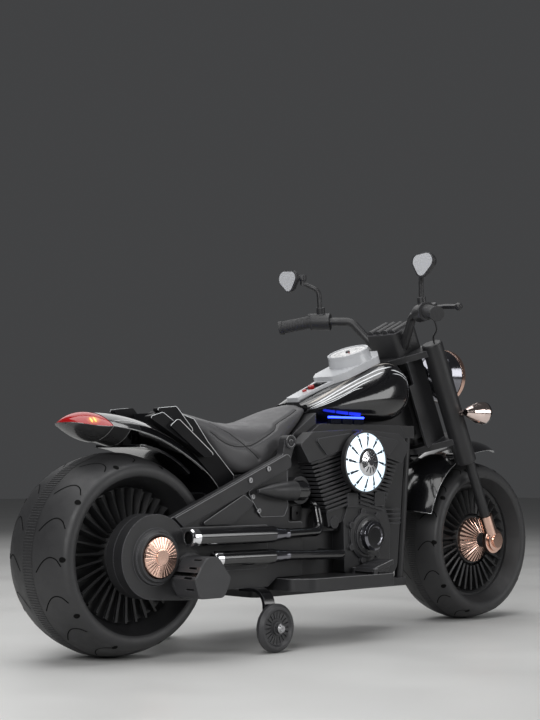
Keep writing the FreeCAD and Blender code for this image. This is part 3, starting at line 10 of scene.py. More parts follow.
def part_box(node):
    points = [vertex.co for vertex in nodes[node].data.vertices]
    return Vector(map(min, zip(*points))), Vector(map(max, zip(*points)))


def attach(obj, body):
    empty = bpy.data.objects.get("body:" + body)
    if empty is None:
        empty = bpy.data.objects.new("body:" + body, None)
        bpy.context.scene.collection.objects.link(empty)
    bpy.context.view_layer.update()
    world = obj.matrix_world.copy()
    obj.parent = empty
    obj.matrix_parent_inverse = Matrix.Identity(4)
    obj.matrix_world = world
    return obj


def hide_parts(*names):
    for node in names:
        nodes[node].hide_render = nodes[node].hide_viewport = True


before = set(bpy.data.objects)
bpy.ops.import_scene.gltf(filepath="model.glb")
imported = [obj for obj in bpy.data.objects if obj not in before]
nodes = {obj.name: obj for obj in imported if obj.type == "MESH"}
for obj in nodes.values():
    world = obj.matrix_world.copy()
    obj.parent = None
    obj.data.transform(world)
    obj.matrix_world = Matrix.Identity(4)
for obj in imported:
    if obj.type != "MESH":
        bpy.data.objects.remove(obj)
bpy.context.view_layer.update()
scene = bpy.context.scene
scene.view_settings.view_transform = "Standard"


# Studio: a pale floor, a wide soft box overhead, a soft key from the camera's left, a weaker
# fill from the right and an even grey surround. The camera stands low behind the right side.
lamp_aim = Vector((0, 0, 0.3))


def soft_box(name, place, size, power):
    lamp = bpy.data.lights.new(name, "AREA")
    lamp.energy = power
    lamp.size = size
    box = bpy.data.objects.new(name, lamp)
    box.location = place
    box.rotation_euler = (lamp_aim - Vector(place)).to_track_quat("-Z", "Y").to_euler()
    scene.collection.objects.link(box)


soft_box("overhead_box", (-0.2, 0.1, 2.3), size=2.4, power=46)
soft_box("key_box", (-2.6, -1.5, 1.6), size=1.6, power=54)
soft_box("fill_box", (1.4, -2.6, 1.1), size=1.4, power=22)
soft_box("far_box", (1.4, 2.4, 2.2), size=2.2, power=16)

surround = bpy.data.worlds.new("surround")
surround.use_nodes = True
surround.node_tree.nodes["Background"].inputs["Color"].default_value = (0.60, 0.61, 0.63, 1)
surround.node_tree.nodes["Background"].inputs["Strength"].default_value = 0.09
scene.world = surround

camera = bpy.data.cameras.new("camera")
camera.lens = 75
camera.sensor_width = 36
camera_pitch, camera_yaw = 0.0694, 0.7645
viewer = bpy.data.objects.new("camera", camera)
viewer.location = (-1.863, -1.8551, 0.2944)
viewer.rotation_euler = (math.pi / 2 + camera_pitch, 0, -camera_yaw)
scene.collection.objects.link(viewer)
scene.camera = viewer


def moulded(name, dark, light, patch, rough, spread=0.05, grain=0.001, depth=2e-5, metallic=0.0,
            corner=0.0012, wear_and_highlight=1.0, specular=0.5):
    """Finish that wanders in colour and gloss over patches, with a fine grain and soft corners that are
    lightened as wear and painted highlight.
    """
    material = bpy.data.materials.new(name)
    material.use_nodes = True
    tree = material.node_tree
    shader = tree.nodes["Principled BSDF"]
    shader.inputs["Metallic"].default_value = metallic
    shader.inputs["Specular IOR Level"].default_value = specular
    place = tree.nodes.new("ShaderNodeTexCoord")

    def clouds(size, detail):
        noise = tree.nodes.new("ShaderNodeTexNoise")
        noise.inputs["Scale"].default_value = 1 / size
        noise.inputs["Detail"].default_value = detail
        tree.links.new(place.outputs["Object"], noise.inputs["Vector"])
        return noise.outputs["Fac"]

    def mixed(share, low, high):
        mix = tree.nodes.new("ShaderNodeMix")
        mix.data_type = "RGBA"
        tree.links.new(share, mix.inputs[0])
        for socket, colour in ((mix.inputs[6], low), (mix.inputs[7], high)):
            if isinstance(colour, bpy.types.NodeSocket):
                tree.links.new(colour, socket)
            else:
                socket.default_value = (*colour, 1)
        return mix.outputs[2]

    round_off = tree.nodes.new("ShaderNodeBevel")
    round_off.samples = 4
    round_off.inputs["Radius"].default_value = corner
    facing = tree.nodes.new("ShaderNodeNewGeometry")
    turned = tree.nodes.new("ShaderNodeVectorMath")
    turned.operation = "DOT_PRODUCT"
    tree.links.new(round_off.outputs["Normal"], turned.inputs[0])
    tree.links.new(facing.outputs["Normal"], turned.inputs[1])
    # Edges found by the rounded normal turn towards a lighter colour: partly wear, partly painted
    # highlight.
    edge_wear_and_highlight_mask = tree.nodes.new("ShaderNodeMapRange")
    edge_wear_and_highlight_mask.inputs["From Min"].default_value = 0.985
    edge_wear_and_highlight_mask.inputs["From Max"].default_value = 0.90
    tree.links.new(turned.outputs["Value"], edge_wear_and_highlight_mask.inputs["Value"])
    tint = mixed(clouds(patch, 4), dark, light)
    tree.links.new(mixed(edge_wear_and_highlight_mask.outputs["Result"], tint, [c * wear_and_highlight for c in light]),
                   shader.inputs["Base Color"])
    gloss = tree.nodes.new("ShaderNodeMapRange")
    gloss.inputs["From Min"].default_value = 0.3
    gloss.inputs["From Max"].default_value = 0.7
    gloss.inputs["To Min"].default_value = rough - spread
    gloss.inputs["To Max"].default_value = rough + spread
    tree.links.new(clouds(patch * 0.3, 2), gloss.inputs["Value"])
    tree.links.new(gloss.outputs["Result"], shader.inputs["Roughness"])
    bump = tree.nodes.new("ShaderNodeBump")
    bump.inputs["Strength"].default_value = 0.5
    bump.inputs["Distance"].default_value = depth
    tree.links.new(clouds(grain, 2), bump.inputs["Height"])
    tree.links.new(round_off.outputs["Normal"], bump.inputs["Normal"])
    tree.links.new(bump.outputs["Normal"], shader.inputs["Normal"])
    return material


floor_reach, floor_level = 9.0, -0.001
floor_mesh = bpy.data.meshes.new("floor")
floor_mesh.from_pydata([(x * floor_reach, y * floor_reach, floor_level)
                        for x, y in ((-1, -1), (1, -1), (1, 1), (-1, 1))], [], [(0, 1, 2, 3)])
floor_mesh.materials.append(moulded("floor_paint", (0.60, 0.60, 0.59), (0.66, 0.66, 0.65),
                                    0.8, 0.45, 0.08, 0.02, 1e-4))
floor = bpy.data.objects.new("floor", floor_mesh)
scene.collection.objects.link(floor)


# Body shell: two blow-moulded halves in matt black plastic, screwed together down the middle, with
# strut covers, side panels and a round intake pod on each side in the same fine-grained moulding.
# The pod ends in a gloss ring, and the charging socket sits in the wall in front of it.
def dress(material, *names):
    """Gives CAD nodes their finish."""
    for name in names:
        mesh = nodes[name].data
        mesh.materials.clear()
        mesh.materials.append(material)


def dress_part(name, material, belongs):
    """Gives the faces of a node that pass the test a finish of their own."""
    mesh = nodes[name].data
    mesh.materials.append(material)
    for face in mesh.polygons:
        if belongs(face.center, face.normal):
            face.material_index = len(mesh.materials) - 1


# Both blacks are lightened strongly along their edges, as wear and painted highlight.
matt_black = moulded("matt_black", (0.013, 0.013, 0.014), (0.022, 0.022, 0.024), 0.10, 0.46, 0.07, 0.0012,
                     1.2e-4, corner=0.0018, wear_and_highlight=4.5)
dress(matt_black, "body_half_left", "body_half_right", "side_panels", "intake_pods", "charging_socket",
      "seat_pan")
gloss_black = moulded("gloss_black", (0.005, 0.005, 0.006), (0.008, 0.008, 0.009), 0.16, 0.14, 0.04,
                      0.004, 3e-5, wear_and_highlight=10)
gloss_shader = gloss_black.node_tree.nodes["Principled BSDF"]
gloss_shader.inputs["Coat Weight"].default_value = 0.6
gloss_shader.inputs["Coat Roughness"].default_value = 0.04
pod_axis_y, pod_axis_z = 0.111, 0.2515
pod_ring_back, pod_ring_inner, pod_ring_radius = -0.137, 0.09, 0.0175
dress_part("intake_pods", gloss_black,
           lambda spot, facing: spot.x > pod_ring_back and abs(spot.y) > pod_ring_inner
           and math.hypot(abs(spot.y) - pod_axis_y, spot.z - pod_axis_z) < pod_ring_radius)


def piece(name, points, faces, material, body):
    """A new mesh piece that moves with a body of the bike."""
    mesh = bpy.data.meshes.new(name)
    mesh.from_pydata(points, [], faces)
    mesh.materials.append(material)
    made = bpy.data.objects.new(name, mesh)
    scene.collection.objects.link(made)
    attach(made, body)
    return made


def tube_faces(base, sides, rows):
    """Faces of a tube through rows of points, each row a ring with the same number of sides."""
    return [(a + k, a + (k + 1) % sides, a + sides + (k + 1) % sides, a + sides + k)
            for a in range(base, base + (rows - 1) * sides, sides) for k in range(sides)]


def edge_beads(name, carrier, belongs, radius, material, body):
    """Thin bright bead along the sharp outer edges of a node that pass the test."""
    sharp_turn, shortest = 0.6, 1e-5
    shape = bmesh.new()
    shape.from_mesh(nodes[carrier].data)
    bmesh.ops.remove_doubles(shape, verts=shape.verts, dist=shortest)
    shape.normal_update()
    points, faces = [], []
    for edge in shape.edges:
        if len(edge.link_faces) != 2 or edge.calc_face_angle_signed() < sharp_turn:
            continue
        a, b = (v.co for v in edge.verts)
        out = edge.link_faces[0].normal + edge.link_faces[1].normal
        if (b - a).length < shortest or out.length < 0.1 or not belongs((a + b) / 2, out.normalized()):
            continue
        up = out.normalized() * radius
        side = (b - a).cross(up).normalized() * radius
        base = len(points)
        points += [end + turn for end in (a, b) for turn in (up, side, -up, -side)]
        faces += tube_faces(base, sides=4, rows=2)
    shape.free()
    return piece(name, points, faces, material, body)


# Grey beads along the upper edges of the shell, side panels and foot boards are painted highlights.
painted_edge_highlight = moulded("painted_edge_highlight", (0.20, 0.20, 0.21), (0.28, 0.28, 0.29), 0.02, 0.32, 0.06, 0.001, 4e-5)
arm_face, upward, shell_bead = 0.0885, 0.25, 0.0006
for name in ("body_half_left", "body_half_right"):
    edge_beads(name + "_edges", name,
                       lambda spot, out: abs(spot.y) > arm_face and out.z > upward,
                       shell_bead, painted_edge_highlight, "frame")
edge_beads("side_panel_edges", "side_panels", lambda spot, out: out.y * spot.y > 0.02,
                   shell_bead, painted_edge_highlight, "frame")

# Belly pan and foot boards: one matt black moulding under the body, flat underneath, with a painted
# highlight as a grey bead along its upper edge.
dress(matt_black, "floor_pan")
board_inner, board_bead = 0.09, 0.0005
edge_beads("floor_pan_edges", "floor_pan",
                   lambda spot, out: abs(spot.y) > board_inner and out.z > upward,
                   board_bead, painted_edge_highlight, "frame")

# Fixings: zinc-plated screws in the strut and side panels, and the training wheels' axle bolts.
# The battery inside the body is a plain closed case.
zinc_steel = moulded("zinc_steel", (0.30, 0.30, 0.31), (0.42, 0.42, 0.43), 0.01, 0.32, 0.08, 0.0006, 4e-5,
                     metallic=1.0, corner=0.0004)
dress(zinc_steel, "fasteners")
case_grey = moulded("case_grey", (0.10, 0.11, 0.12), (0.13, 0.14, 0.15), 0.05, 0.42, 0.06, 0.001, 6e-5)
dress(case_grey, "battery")

# Rear drive: a two-stage train of moulded nylon gears in a split matt black gearbox, driven by a small
# motor under a slotted dark grey cup. The axle ends in plated caps with fine radial flutes.
gear_nylon = moulded("gear_nylon", (0.62, 0.60, 0.54), (0.70, 0.68, 0.62), 0.02, 0.40, 0.06, 0.001, 5e-5,
                     corner=0.0003)
dress(gear_nylon, "drive_gear", "idler_gear")
dress(zinc_steel, "motor", "motor_pinion")
dress(matt_black, "gearbox_case", "gearbox_cover", "axle_housing_left")
dark_grey = moulded("dark_grey", (0.030, 0.030, 0.032), (0.042, 0.042, 0.045), 0.06, 0.46, 0.07, 0.0009,
                    1e-4, wear_and_highlight=1.8)
dress(dark_grey, "motor_cover")
rose_plating = moulded("rose_plating", (0.78, 0.50, 0.40), (0.88, 0.60, 0.49), 0.03, 0.16, 0.05, 0.003,
                       metallic=1.0, corner=0.0004)
dress(rose_plating, "rear_axle")

# Wheels: hollow fat tyres moulded in matt dark grey, with a knurled traction band round the crown,
# hooked grooves and drain holes on the shoulders, over black rims with turbine vanes.
tyre_grey = moulded("tyre_grey", (0.024, 0.024, 0.025), (0.034, 0.034, 0.036), 0.05, 0.50, 0.06, 0.0016,
                    2e-4, wear_and_highlight=1.5)
dress(tyre_grey, "rear_tyre", "front_tyre")
# Near-black for the tyre grooves, drain holes and exhaust mouths: painted shade inside the hollows.
hollow_shade_black = moulded("hollow_shade_black", (0.004, 0.004, 0.004), (0.007, 0.007, 0.007), 0.02, 0.7, 0.05,
                       0.001, 5e-5, specular=0.05)
wheel_black = moulded("wheel_black", (0.010, 0.010, 0.011), (0.018, 0.018, 0.019), 0.05, 0.40, 0.06,
                      0.001, 1e-4, corner=0.0008, wear_and_highlight=2)
dress(wheel_black, "rear_rims", "front_rims")


def shaping_tree(name, **inputs):
    """A geometry tree that takes a shape and named values, each of its kind, and gives a shape."""
    tree = bpy.data.node_groups.new(name, "GeometryNodeTree")
    for way in ("INPUT", "OUTPUT"):
        tree.interface.new_socket("Geometry", in_out=way, socket_type="NodeSocketGeometry")
    for label, kind in inputs.items():
        tree.interface.new_socket(label, in_out="INPUT", socket_type="NodeSocket" + kind)
    return tree


def paint_out(tree, given, shape):
    """Last nodes of a shaping tree, which give the shape its finish and hand it out."""
    painted = tree.nodes.new("GeometryNodeSetMaterial")
    made = tree.nodes.new("NodeGroupOutput")
    tree.links.new(shape, painted.inputs["Geometry"])
    tree.links.new(given.outputs["Finish"], painted.inputs["Material"])
    tree.links.new(painted.outputs["Geometry"], made.inputs["Geometry"])


ring_tree = shaping_tree("ring_about_axle", Count="Int", Step="Float", Centre="Vector", Tilt="Vector",
                         Finish="Material")
ring_given = ring_tree.nodes.new("NodeGroupInput")
ring_spots = ring_tree.nodes.new("GeometryNodeMeshLine")
ring_spots.inputs["Offset"].default_value = (0, 0, 0)
ring_index = ring_tree.nodes.new("GeometryNodeInputIndex")
ring_turn = ring_tree.nodes.new("ShaderNodeMath")
ring_turn.operation = "MULTIPLY"
ring_about = ring_tree.nodes.new("ShaderNodeCombineXYZ")
ring_copies = ring_tree.nodes.new("GeometryNodeInstanceOnPoints")
ring_solid = ring_tree.nodes.new("GeometryNodeRealizeInstances")
ring_placed = ring_tree.nodes.new("GeometryNodeTransform")
for start, end in ((ring_given.outputs["Count"], ring_spots.inputs["Count"]),
                   (ring_index.outputs["Index"], ring_turn.inputs[0]),
                   (ring_given.outputs["Step"], ring_turn.inputs[1]),
                   (ring_turn.outputs[0], ring_about.inputs["Y"]),
                   (ring_spots.outputs["Mesh"], ring_copies.inputs["Points"]),
                   (ring_given.outputs["Geometry"], ring_copies.inputs["Instance"]),
                   (ring_about.outputs["Vector"], ring_copies.inputs["Rotation"]),
                   (ring_copies.outputs["Instances"], ring_solid.inputs["Geometry"]),
                   (ring_solid.outputs["Geometry"], ring_placed.inputs["Geometry"]),
                   (ring_given.outputs["Centre"], ring_placed.inputs["Translation"]),
                   (ring_given.outputs["Tilt"], ring_placed.inputs["Rotation"])):
    ring_tree.links.new(start, end)
paint_out(ring_tree, ring_given, ring_placed.outputs["Geometry"])


def settled(made):
    """Turns an object and its modifiers into one plain mesh."""
    bpy.context.view_layer.update()
    graph = bpy.context.evaluated_depsgraph_get()
    mesh = bpy.data.meshes.new_from_object(made.evaluated_get(graph))
    made.modifiers.clear()
    made.data = mesh
    return made


def shaped(name, points, edges, faces, tree, **values):
    """A mesh put through a geometry tree, with values for the tree's named inputs."""
    mesh = bpy.data.meshes.new(name)
    mesh.from_pydata(points, edges, faces)
    made = bpy.data.objects.new(name, mesh)
    scene.collection.objects.link(made)
    shaping = made.modifiers.new(tree.name, "NODES")
    shaping.node_group = tree
    for item in tree.interface.items_tree:
        if item.in_out == "INPUT" and item.name in values:
            shaping[item.identifier] = values[item.name]
    return settled(made)


def ring_of(name, points, faces, count, centre, material, body, tilt=(0, 0, 0), sweep=math.tau):
    """Repeats a small mesh in a ring about an axle through the centre."""
    made = shaped(name, points, [], faces, ring_tree, Count=count, Step=sweep / count, Centre=centre,
                  Tilt=tilt, Finish=material)
    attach(made, body)
    return made


def smooth_line(stops, steps):
    """Points along a smooth curve through the stops."""
    ends = [stops[0] * 2 - stops[1]] + stops + [stops[-1] * 2 - stops[-2]]
    points = []
    for a, b, c, d in zip(ends, ends[1:], ends[2:], ends[3:]):
        for i in range(steps):
            t = i / steps
            points.append(0.5 * (2 * b + (c - a) * t + (2 * a - 5 * b + 4 * c - d) * t ** 2
                                 + (3 * b - a - 3 * c + d) * t ** 3))
    return points + [stops[-1]]


def heading(line, i):
    """Way that a line of points runs at one of them."""
    return line[min(i + 1, len(line) - 1)] - line[max(i - 1, 0)]


def strip_faces(base, count, flip):
    """Faces of a strip along pairs of points, turned over for a mirrored one."""
    quads = [(a, a + 1, a + 3, a + 2) for a in range(base, base + 2 * count - 2, 2)]
    return quads if flip > 0 else [quad[::-1] for quad in quads]


def tread_height(y, radius, half, crown, shoulder):
    """Distance of the tyre's outer skin from the axle at y off its middle."""
    turn_y = half - shoulder
    hub = radius - crown
    turn_r = hub + math.sqrt((crown - shoulder) ** 2 - turn_y ** 2)
    if abs(y) < turn_y * crown / (crown - shoulder):
        return hub + math.sqrt(crown ** 2 - y * y)
    return turn_r + math.sqrt(max(shoulder ** 2 - (abs(y) - turn_y) ** 2, 0))


def tread_details(wheel, crown, shoulder, band_half, hook_stops, hole_y):
    """Traction band ribs, hooked grooves and drain holes for one tyre."""
    rib_count, hook_count, hole_count = 224, 16, 10
    low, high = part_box(wheel + "_tyre")
    centre = (low + high) / 2
    radius, half = (high.z - low.z) / 2, high.y
    body = wheel + "_wheel"

    def on_skin(arc, y, lift):
        r = tread_height(y, radius, half, crown, shoulder) + lift
        return Vector((r * math.cos(arc / radius), y, r * math.sin(arc / radius)))

    rib_share, rib_rise, rib_root = 0.6, 0.0009, -0.001
    rib_half = math.pi * radius / rib_count * rib_share
    points = []
    for y in (-band_half, 0, band_half):
        points += [on_skin(-rib_half, y, rib_root), on_skin(-rib_half * 0.5, y, rib_rise),
                   on_skin(rib_half * 0.5, y, rib_rise), on_skin(rib_half, y, rib_root)]
    faces = [(row + i, row + i + 1, row + i + 5, row + i + 4) for row in (0, 4) for i in range(3)]
    ring_of(wheel + "_traction_ribs", points, faces, rib_count, centre, tyre_grey, body)

    # Hooked grooves: near-black strips on the skin, painted shade of the grooves.
    groove_half, groove_lift = 0.0009, 0.0003
    points, faces = [], []
    line = smooth_line([Vector((arc, y, 0)) for arc, y in hook_stops], steps=6)
    for flip in (1, -1):
        base = len(points)
        for i, spot in enumerate(line):
            ahead = heading(line, i)
            across = Vector((-ahead.y, ahead.x, 0)).normalized() * groove_half
            for side in (-1, 1):
                edge = spot + across * side
                points.append(on_skin(edge.x, edge.y * flip, groove_lift))
        faces += strip_faces(base, len(line), flip)
    ring_of(wheel + "_hooked_grooves", points, faces, hook_count, centre, hollow_shade_black, body)

    # Drain holes: near-black discs on the skin, painted shade of the holes.
    points, faces = [], []
    hole_radius, hole_peak, hole_lift, sides = 0.0046, 0.0006, 0.0005, 12
    for flip in (1, -1):
        base = len(points)
        points.append(on_skin(0, hole_y * flip, hole_peak))
        for i in range(sides):
            turn = math.tau * i / sides
            y = (hole_y + hole_radius * math.sin(turn)) * flip
            points.append(on_skin(hole_radius * math.cos(turn), y, hole_lift))
        for i in range(sides):
            wedge = (base, base + 1 + i, base + 1 + (i + 1) % sides)
            faces.append(wedge if flip < 0 else wedge[::-1])
    ring_of(wheel + "_drain_holes", points, faces, hole_count, centre, hollow_shade_black, body)


tread_details("rear", crown=0.150, shoulder=0.013, band_half=0.012, hole_y=0.0665,
              hook_stops=[(0.020, 0.020), (0.004, 0.034), (-0.003, 0.046), (0.000, 0.057), (0.011, 0.0645)])
tread_details("front", crown=0.108, shoulder=0.013, band_half=0.009, hole_y=0.0475,
              hook_stops=[(0.016, 0.016), (0.003, 0.027), (-0.002, 0.036), (0.000, 0.043), (0.008, 0.048)])


# Front hub: plated fluted cones beside the rims, each with a black collar towards the fork clamp.
# The axle and its stepped clamps carry the same warm plating.
def raised(material, height, depth, strength=1.0):
    """Adds relief over the grain of a finish."""
    tree = material.node_tree
    relief = tree.nodes.new("ShaderNodeBump")
    relief.inputs["Strength"].default_value = strength
    relief.inputs["Distance"].default_value = depth
    tree.links.new(height, relief.inputs["Height"])
    tree.links.new(tree.nodes["Bump"].outputs["Normal"], relief.inputs["Normal"])
    tree.links.new(relief.outputs["Normal"], tree.nodes["Principled BSDF"].inputs["Normal"])
    return material


def fluted(material, x, z, count, depth):
    """Adds radial flutes about an axle to a finish."""
    tree = material.node_tree
    place = tree.nodes.new("ShaderNodeTexCoord")
    centred = tree.nodes.new("ShaderNodeVectorMath")
    centred.operation = "SUBTRACT"
    centred.inputs[1].default_value = (x, 0, z)
    axes = tree.nodes.new("ShaderNodeSeparateXYZ")
    tree.links.new(place.outputs["Object"], centred.inputs[0])
    tree.links.new(centred.outputs["Vector"], axes.inputs[0])
    signal = [axes.outputs["Z"], axes.outputs["X"]]
    for operation, value in (("ARCTAN2", None), ("MULTIPLY", count), ("SINE", None)):
        step = tree.nodes.new("ShaderNodeMath")
        step.operation = operation
        for socket, source in zip(step.inputs, signal):
            tree.links.new(source, socket)
        if value is not None:
            step.inputs[1].default_value = value
        signal = [step.outputs[0]]
    return raised(material, signal[0], depth)


dress(rose_plating, "front_axle")
hub_low, hub_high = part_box("front_hub_caps")
rose_flutes = fluted(rose_plating.copy(), (hub_low.x + hub_high.x) / 2, (hub_low.z + hub_high.z) / 2,
                     count=28, depth=0.0012)
rose_flutes.name = "rose_flutes"
dress(rose_flutes, "front_hub_caps")
hub_collar = 0.0485
dress_part("front_hub_caps", matt_black, lambda spot, facing: abs(spot.y) > hub_collar)

# Engine: a moulded V-twin look-alike in matt black, with finned cylinders, box-like rocker covers and a
# round crankcase cover whose knob has a gloss face in a smoked chrome ring.
dress(matt_black, "engine_covers")
crank_x, crank_z = 0.05352, 0.172
knob_inner, knob_radius, knob_flat = 0.1045, 0.027, 0.95


def on_knob(spot, facing):
    return abs(spot.y) > knob_inner and math.hypot(spot.x - crank_x, spot.z - crank_z) < knob_radius


dress_part("engine_covers", gloss_black, on_knob)
smoked_chrome = moulded("smoked_chrome", (0.20, 0.20, 0.22), (0.28, 0.28, 0.31), 0.03, 0.14, 0.04, 0.003,
                        metallic=1.0)
dress_part("engine_covers", smoked_chrome,
           lambda spot, facing: on_knob(spot, facing) and abs(facing.y) < knob_flat)


# Air cleaner: a white turbine face lit from behind, its blades parted by twelve dark slots, in a matt
# black cup, with a slotted chrome cap screwed on its middle.
def lit(name, core, edge, spot, reach, strength, rough):
    """Lamp plastic whose glow goes from a core colour at a spot on both sides to an edge colour."""
    material = moulded(name, [0.8 * c for c in edge], edge, 0.05, rough, 0.04, 0.002)
    tree = material.node_tree
    shader = tree.nodes["Principled BSDF"]
    place = tree.nodes.new("ShaderNodeTexCoord")
    both_sides = tree.nodes.new("ShaderNodeVectorMath")
    both_sides.operation = "ABSOLUTE"
    away = tree.nodes.new("ShaderNodeVectorMath")
    away.operation = "DISTANCE"
    away.inputs[1].default_value = [abs(c) for c in spot]
    fade = tree.nodes.new("ShaderNodeMapRange")
    fade.interpolation_type = "SMOOTHSTEP"
    fade.inputs["From Max"].default_value = reach
    glow = tree.nodes.new("ShaderNodeMix")
    glow.data_type = "RGBA"
    glow.inputs[6].default_value = (*core, 1)
    glow.inputs[7].default_value = (*edge, 1)
    tree.links.new(place.outputs["Object"], both_sides.inputs[0])
    tree.links.new(both_sides.outputs["Vector"], away.inputs[0])
    tree.links.new(away.outputs["Value"], fade.inputs["Value"])
    tree.links.new(fade.outputs["Result"], glow.inputs[0])
    tree.links.new(glow.outputs[2], shader.inputs["Emission Color"])
    shader.inputs["Emission Strength"].default_value = strength
    return material


dress(matt_black, "air_cleaners")
chrome = moulded("chrome", (0.72, 0.72, 0.74), (0.80, 0.80, 0.82), 0.03, 0.10, 0.04, 0.003, metallic=1.0,
                 corner=0.0005)
air_low, air_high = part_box("air_cleaners")
air_spot = (air_low + air_high) / 2
lens_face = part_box("air_cleaner_lenses")[1].y


def air_radius(spot):
    return math.hypot(spot.x - air_spot.x, spot.z - air_spot.z)


slot_blue = moulded("slot_blue", (0.012, 0.022, 0.035), (0.020, 0.034, 0.050), 0.01, 0.4)
cap_radius, cap_back, wall_tilt = 0.025, lens_face - 0.0002, 0.3
notch_inner, notch_outer, notch_floor = 0.0085, 0.0196, lens_face + 0.0036
dress_part("air_cleaners", chrome,
           lambda spot, facing: abs(spot.y) > cap_back and air_radius(spot) < cap_radius)
dress_part("air_cleaners", slot_blue,
           lambda spot, facing: notch_inner < air_radius(spot) < notch_outer and lens_face < abs(spot.y)
           and (abs(spot.y) < notch_floor or abs(facing.y) < wall_tilt))
turbine_light = lit("turbine_light", (1.0, 1.0, 1.0), (0.70, 0.87, 1.0),
                    (air_spot.x, air_high.y, air_spot.z), reach=0.060, strength=0.85, rough=0.3)
dress(turbine_light, "air_cleaner_lenses")
slot_inner, slot_outer, slot_floor, floor_play = 0.028, 0.0452, lens_face - 0.007, 0.0003
dress_part("air_cleaner_lenses", slot_blue,
           lambda spot, facing: slot_inner < air_radius(spot) < slot_outer
           and (abs(abs(spot.y) - slot_floor) < floor_play or abs(facing.y) < wall_tilt))


def lens_height(r):
    """Distance of the lens's outer face from the bike's middle plane at a radius."""
    inner, knee, rim = 0.024, 0.038, 0.050
    knee_drop, rim_drop = 0.002, 0.003
    if r < knee:
        return lens_face - knee_drop * (r - inner) / (knee - inner)
    return lens_face - knee_drop - rim_drop * (r - knee) / (rim - knee)


def blade_marks(stops):
    """Strips along a slot's line on both lenses, through stops of reach past its root and half width."""
    slot_root, slot_lean, mark_lift = 0.029, math.radians(14), 0.0003
    points, faces = [], []
    for flip in (1, -1):
        base = len(points)
        for reach, half in stops:
            for side in (-1, 1):
                x = slot_root + reach * math.cos(slot_lean) + side * half * math.sin(slot_lean)
                z = -reach * math.sin(slot_lean) + side * half * math.cos(slot_lean)
                points.append((x, -flip * (lens_height(math.hypot(x, z)) + mark_lift), z))
        faces += strip_faces(base, len(stops), flip)
    return points, faces


air_centre, slot_count = (air_spot.x, 0, air_spot.z), 12
for label, stops in (("roots", [(-0.0045, 0.0004), (-0.002, 0.0007), (0.001, 0.0010)]),
                     ("ends", [(0.009, 0.0016), (0.011, 0.0023), (0.0155, 0.0024)]),
                     ("dashes", [(0.0170, 0.0019), (0.0190, 0.0019), (0.0208, 0.0017)])):
    points, faces = blade_marks(stops)
    ring_of("turbine_slot_" + label, points, faces, slot_count, air_centre, slot_blue, "frame")

# Light bars: three blue lamps under each side of the tank, dark plastic below and lit along the top,
# which throw their colour on the rocker covers.
strip_light = moulded("strip_light", (0.003, 0.004, 0.010), (0.005, 0.006, 0.014), 0.01, 0.25, specular=0.1)
strip_tree = strip_light.node_tree
strip_shader = strip_tree.nodes["Principled BSDF"]
strip_place = strip_tree.nodes.new("ShaderNodeTexCoord")
strip_axes = strip_tree.nodes.new("ShaderNodeSeparateXYZ")
strip_rise = strip_tree.nodes.new("ShaderNodeMapRange")
strip_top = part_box("light_bars")[1].z
strip_rise.inputs["From Min"].default_value = strip_top - 0.0036
strip_rise.inputs["From Max"].default_value = strip_top - 0.0028
strip_rise.inputs["To Max"].default_value = 9
strip_shader.inputs["Emission Color"].default_value = (0.020, 0.045, 1.0, 1)
strip_tree.links.new(strip_place.outputs["Object"], strip_axes.inputs[0])
strip_tree.links.new(strip_axes.outputs["Z"], strip_rise.inputs["Value"])
strip_tree.links.new(strip_rise.outputs["Result"], strip_shader.inputs["Emission Strength"])
dress(strip_light, "light_bars")

# Exhaust: twin gloss black mufflers that taper through smoked chrome sleeves to slimmer pipes, with a
# chrome band at each tip whose mouth is painted shade in near-black.
dress(gloss_black, "exhausts")
sleeve_back, sleeve_front, pad_outer = -0.2005, -0.1665, 0.1
dress_part("exhausts", smoked_chrome,
           lambda spot, facing: sleeve_back < spot.x < sleeve_front and abs(spot.y) > pad_outer)
dress(chrome, "exhaust_tips")
mouth_y, mouth_parting = 0.126, 0.167
upper_mouth, lower_mouth = (0.1835, 0.0098), (0.149, 0.0083)


def in_mouth(spot, facing):
    z, r = upper_mouth if spot.z > mouth_parting else lower_mouth
    return math.hypot(abs(spot.y) - mouth_y, spot.z - z) < r


dress_part("exhaust_tips", hollow_shade_black, in_mouth)


# Fuel tank: a gloss black teardrop in two halves over the body's spine, with a satin band along its
# upper edge and fine white lines that gather towards the rear tip.
def skin_of(mesh):
    return BVHTree.FromPolygons([v.co for v in mesh.vertices], [f.vertices for f in mesh.polygons])


def painted_line(name, carrier, stops, width, inward, material, body):
    """Pinstripe laid on a node along a curve through the stops, and its mirror image on the left."""
    throw, paint_lift, thin_end, taper = 0.2, 0.0003, 0.15, 6
    skin = skin_of(nodes[carrier].data)
    line = smooth_line([Vector(p) for p in stops], steps=10)
    points, faces = [], []
    for flip in (1, -1):
        into = Vector((inward[0], inward[1] * flip, inward[2])).normalized()
        row = []
        for i, spot in enumerate(line):
            share = min(1, taper * i / len(line), taper * (len(line) - 1 - i) / len(line))
            breadth = width * (thin_end + (1 - thin_end) * share)
            across = heading(line, i).cross(Vector(inward)).normalized() * breadth / 2
            edges = []
            for side in (-1, 1):
                aim = spot + across * side
                aim = Vector((aim.x, aim.y * flip, aim.z))
                hit = skin.ray_cast(aim - into * throw, into)[0]
                if hit is not None:
                    edges.append(hit - into * paint_lift)
            if len(edges) == 2:
                row.append(edges)
        base = len(points)
        for edges in row:
            points += edges
        faces += strip_faces(base, len(row), flip)
    return piece(name, points, faces, material, body)


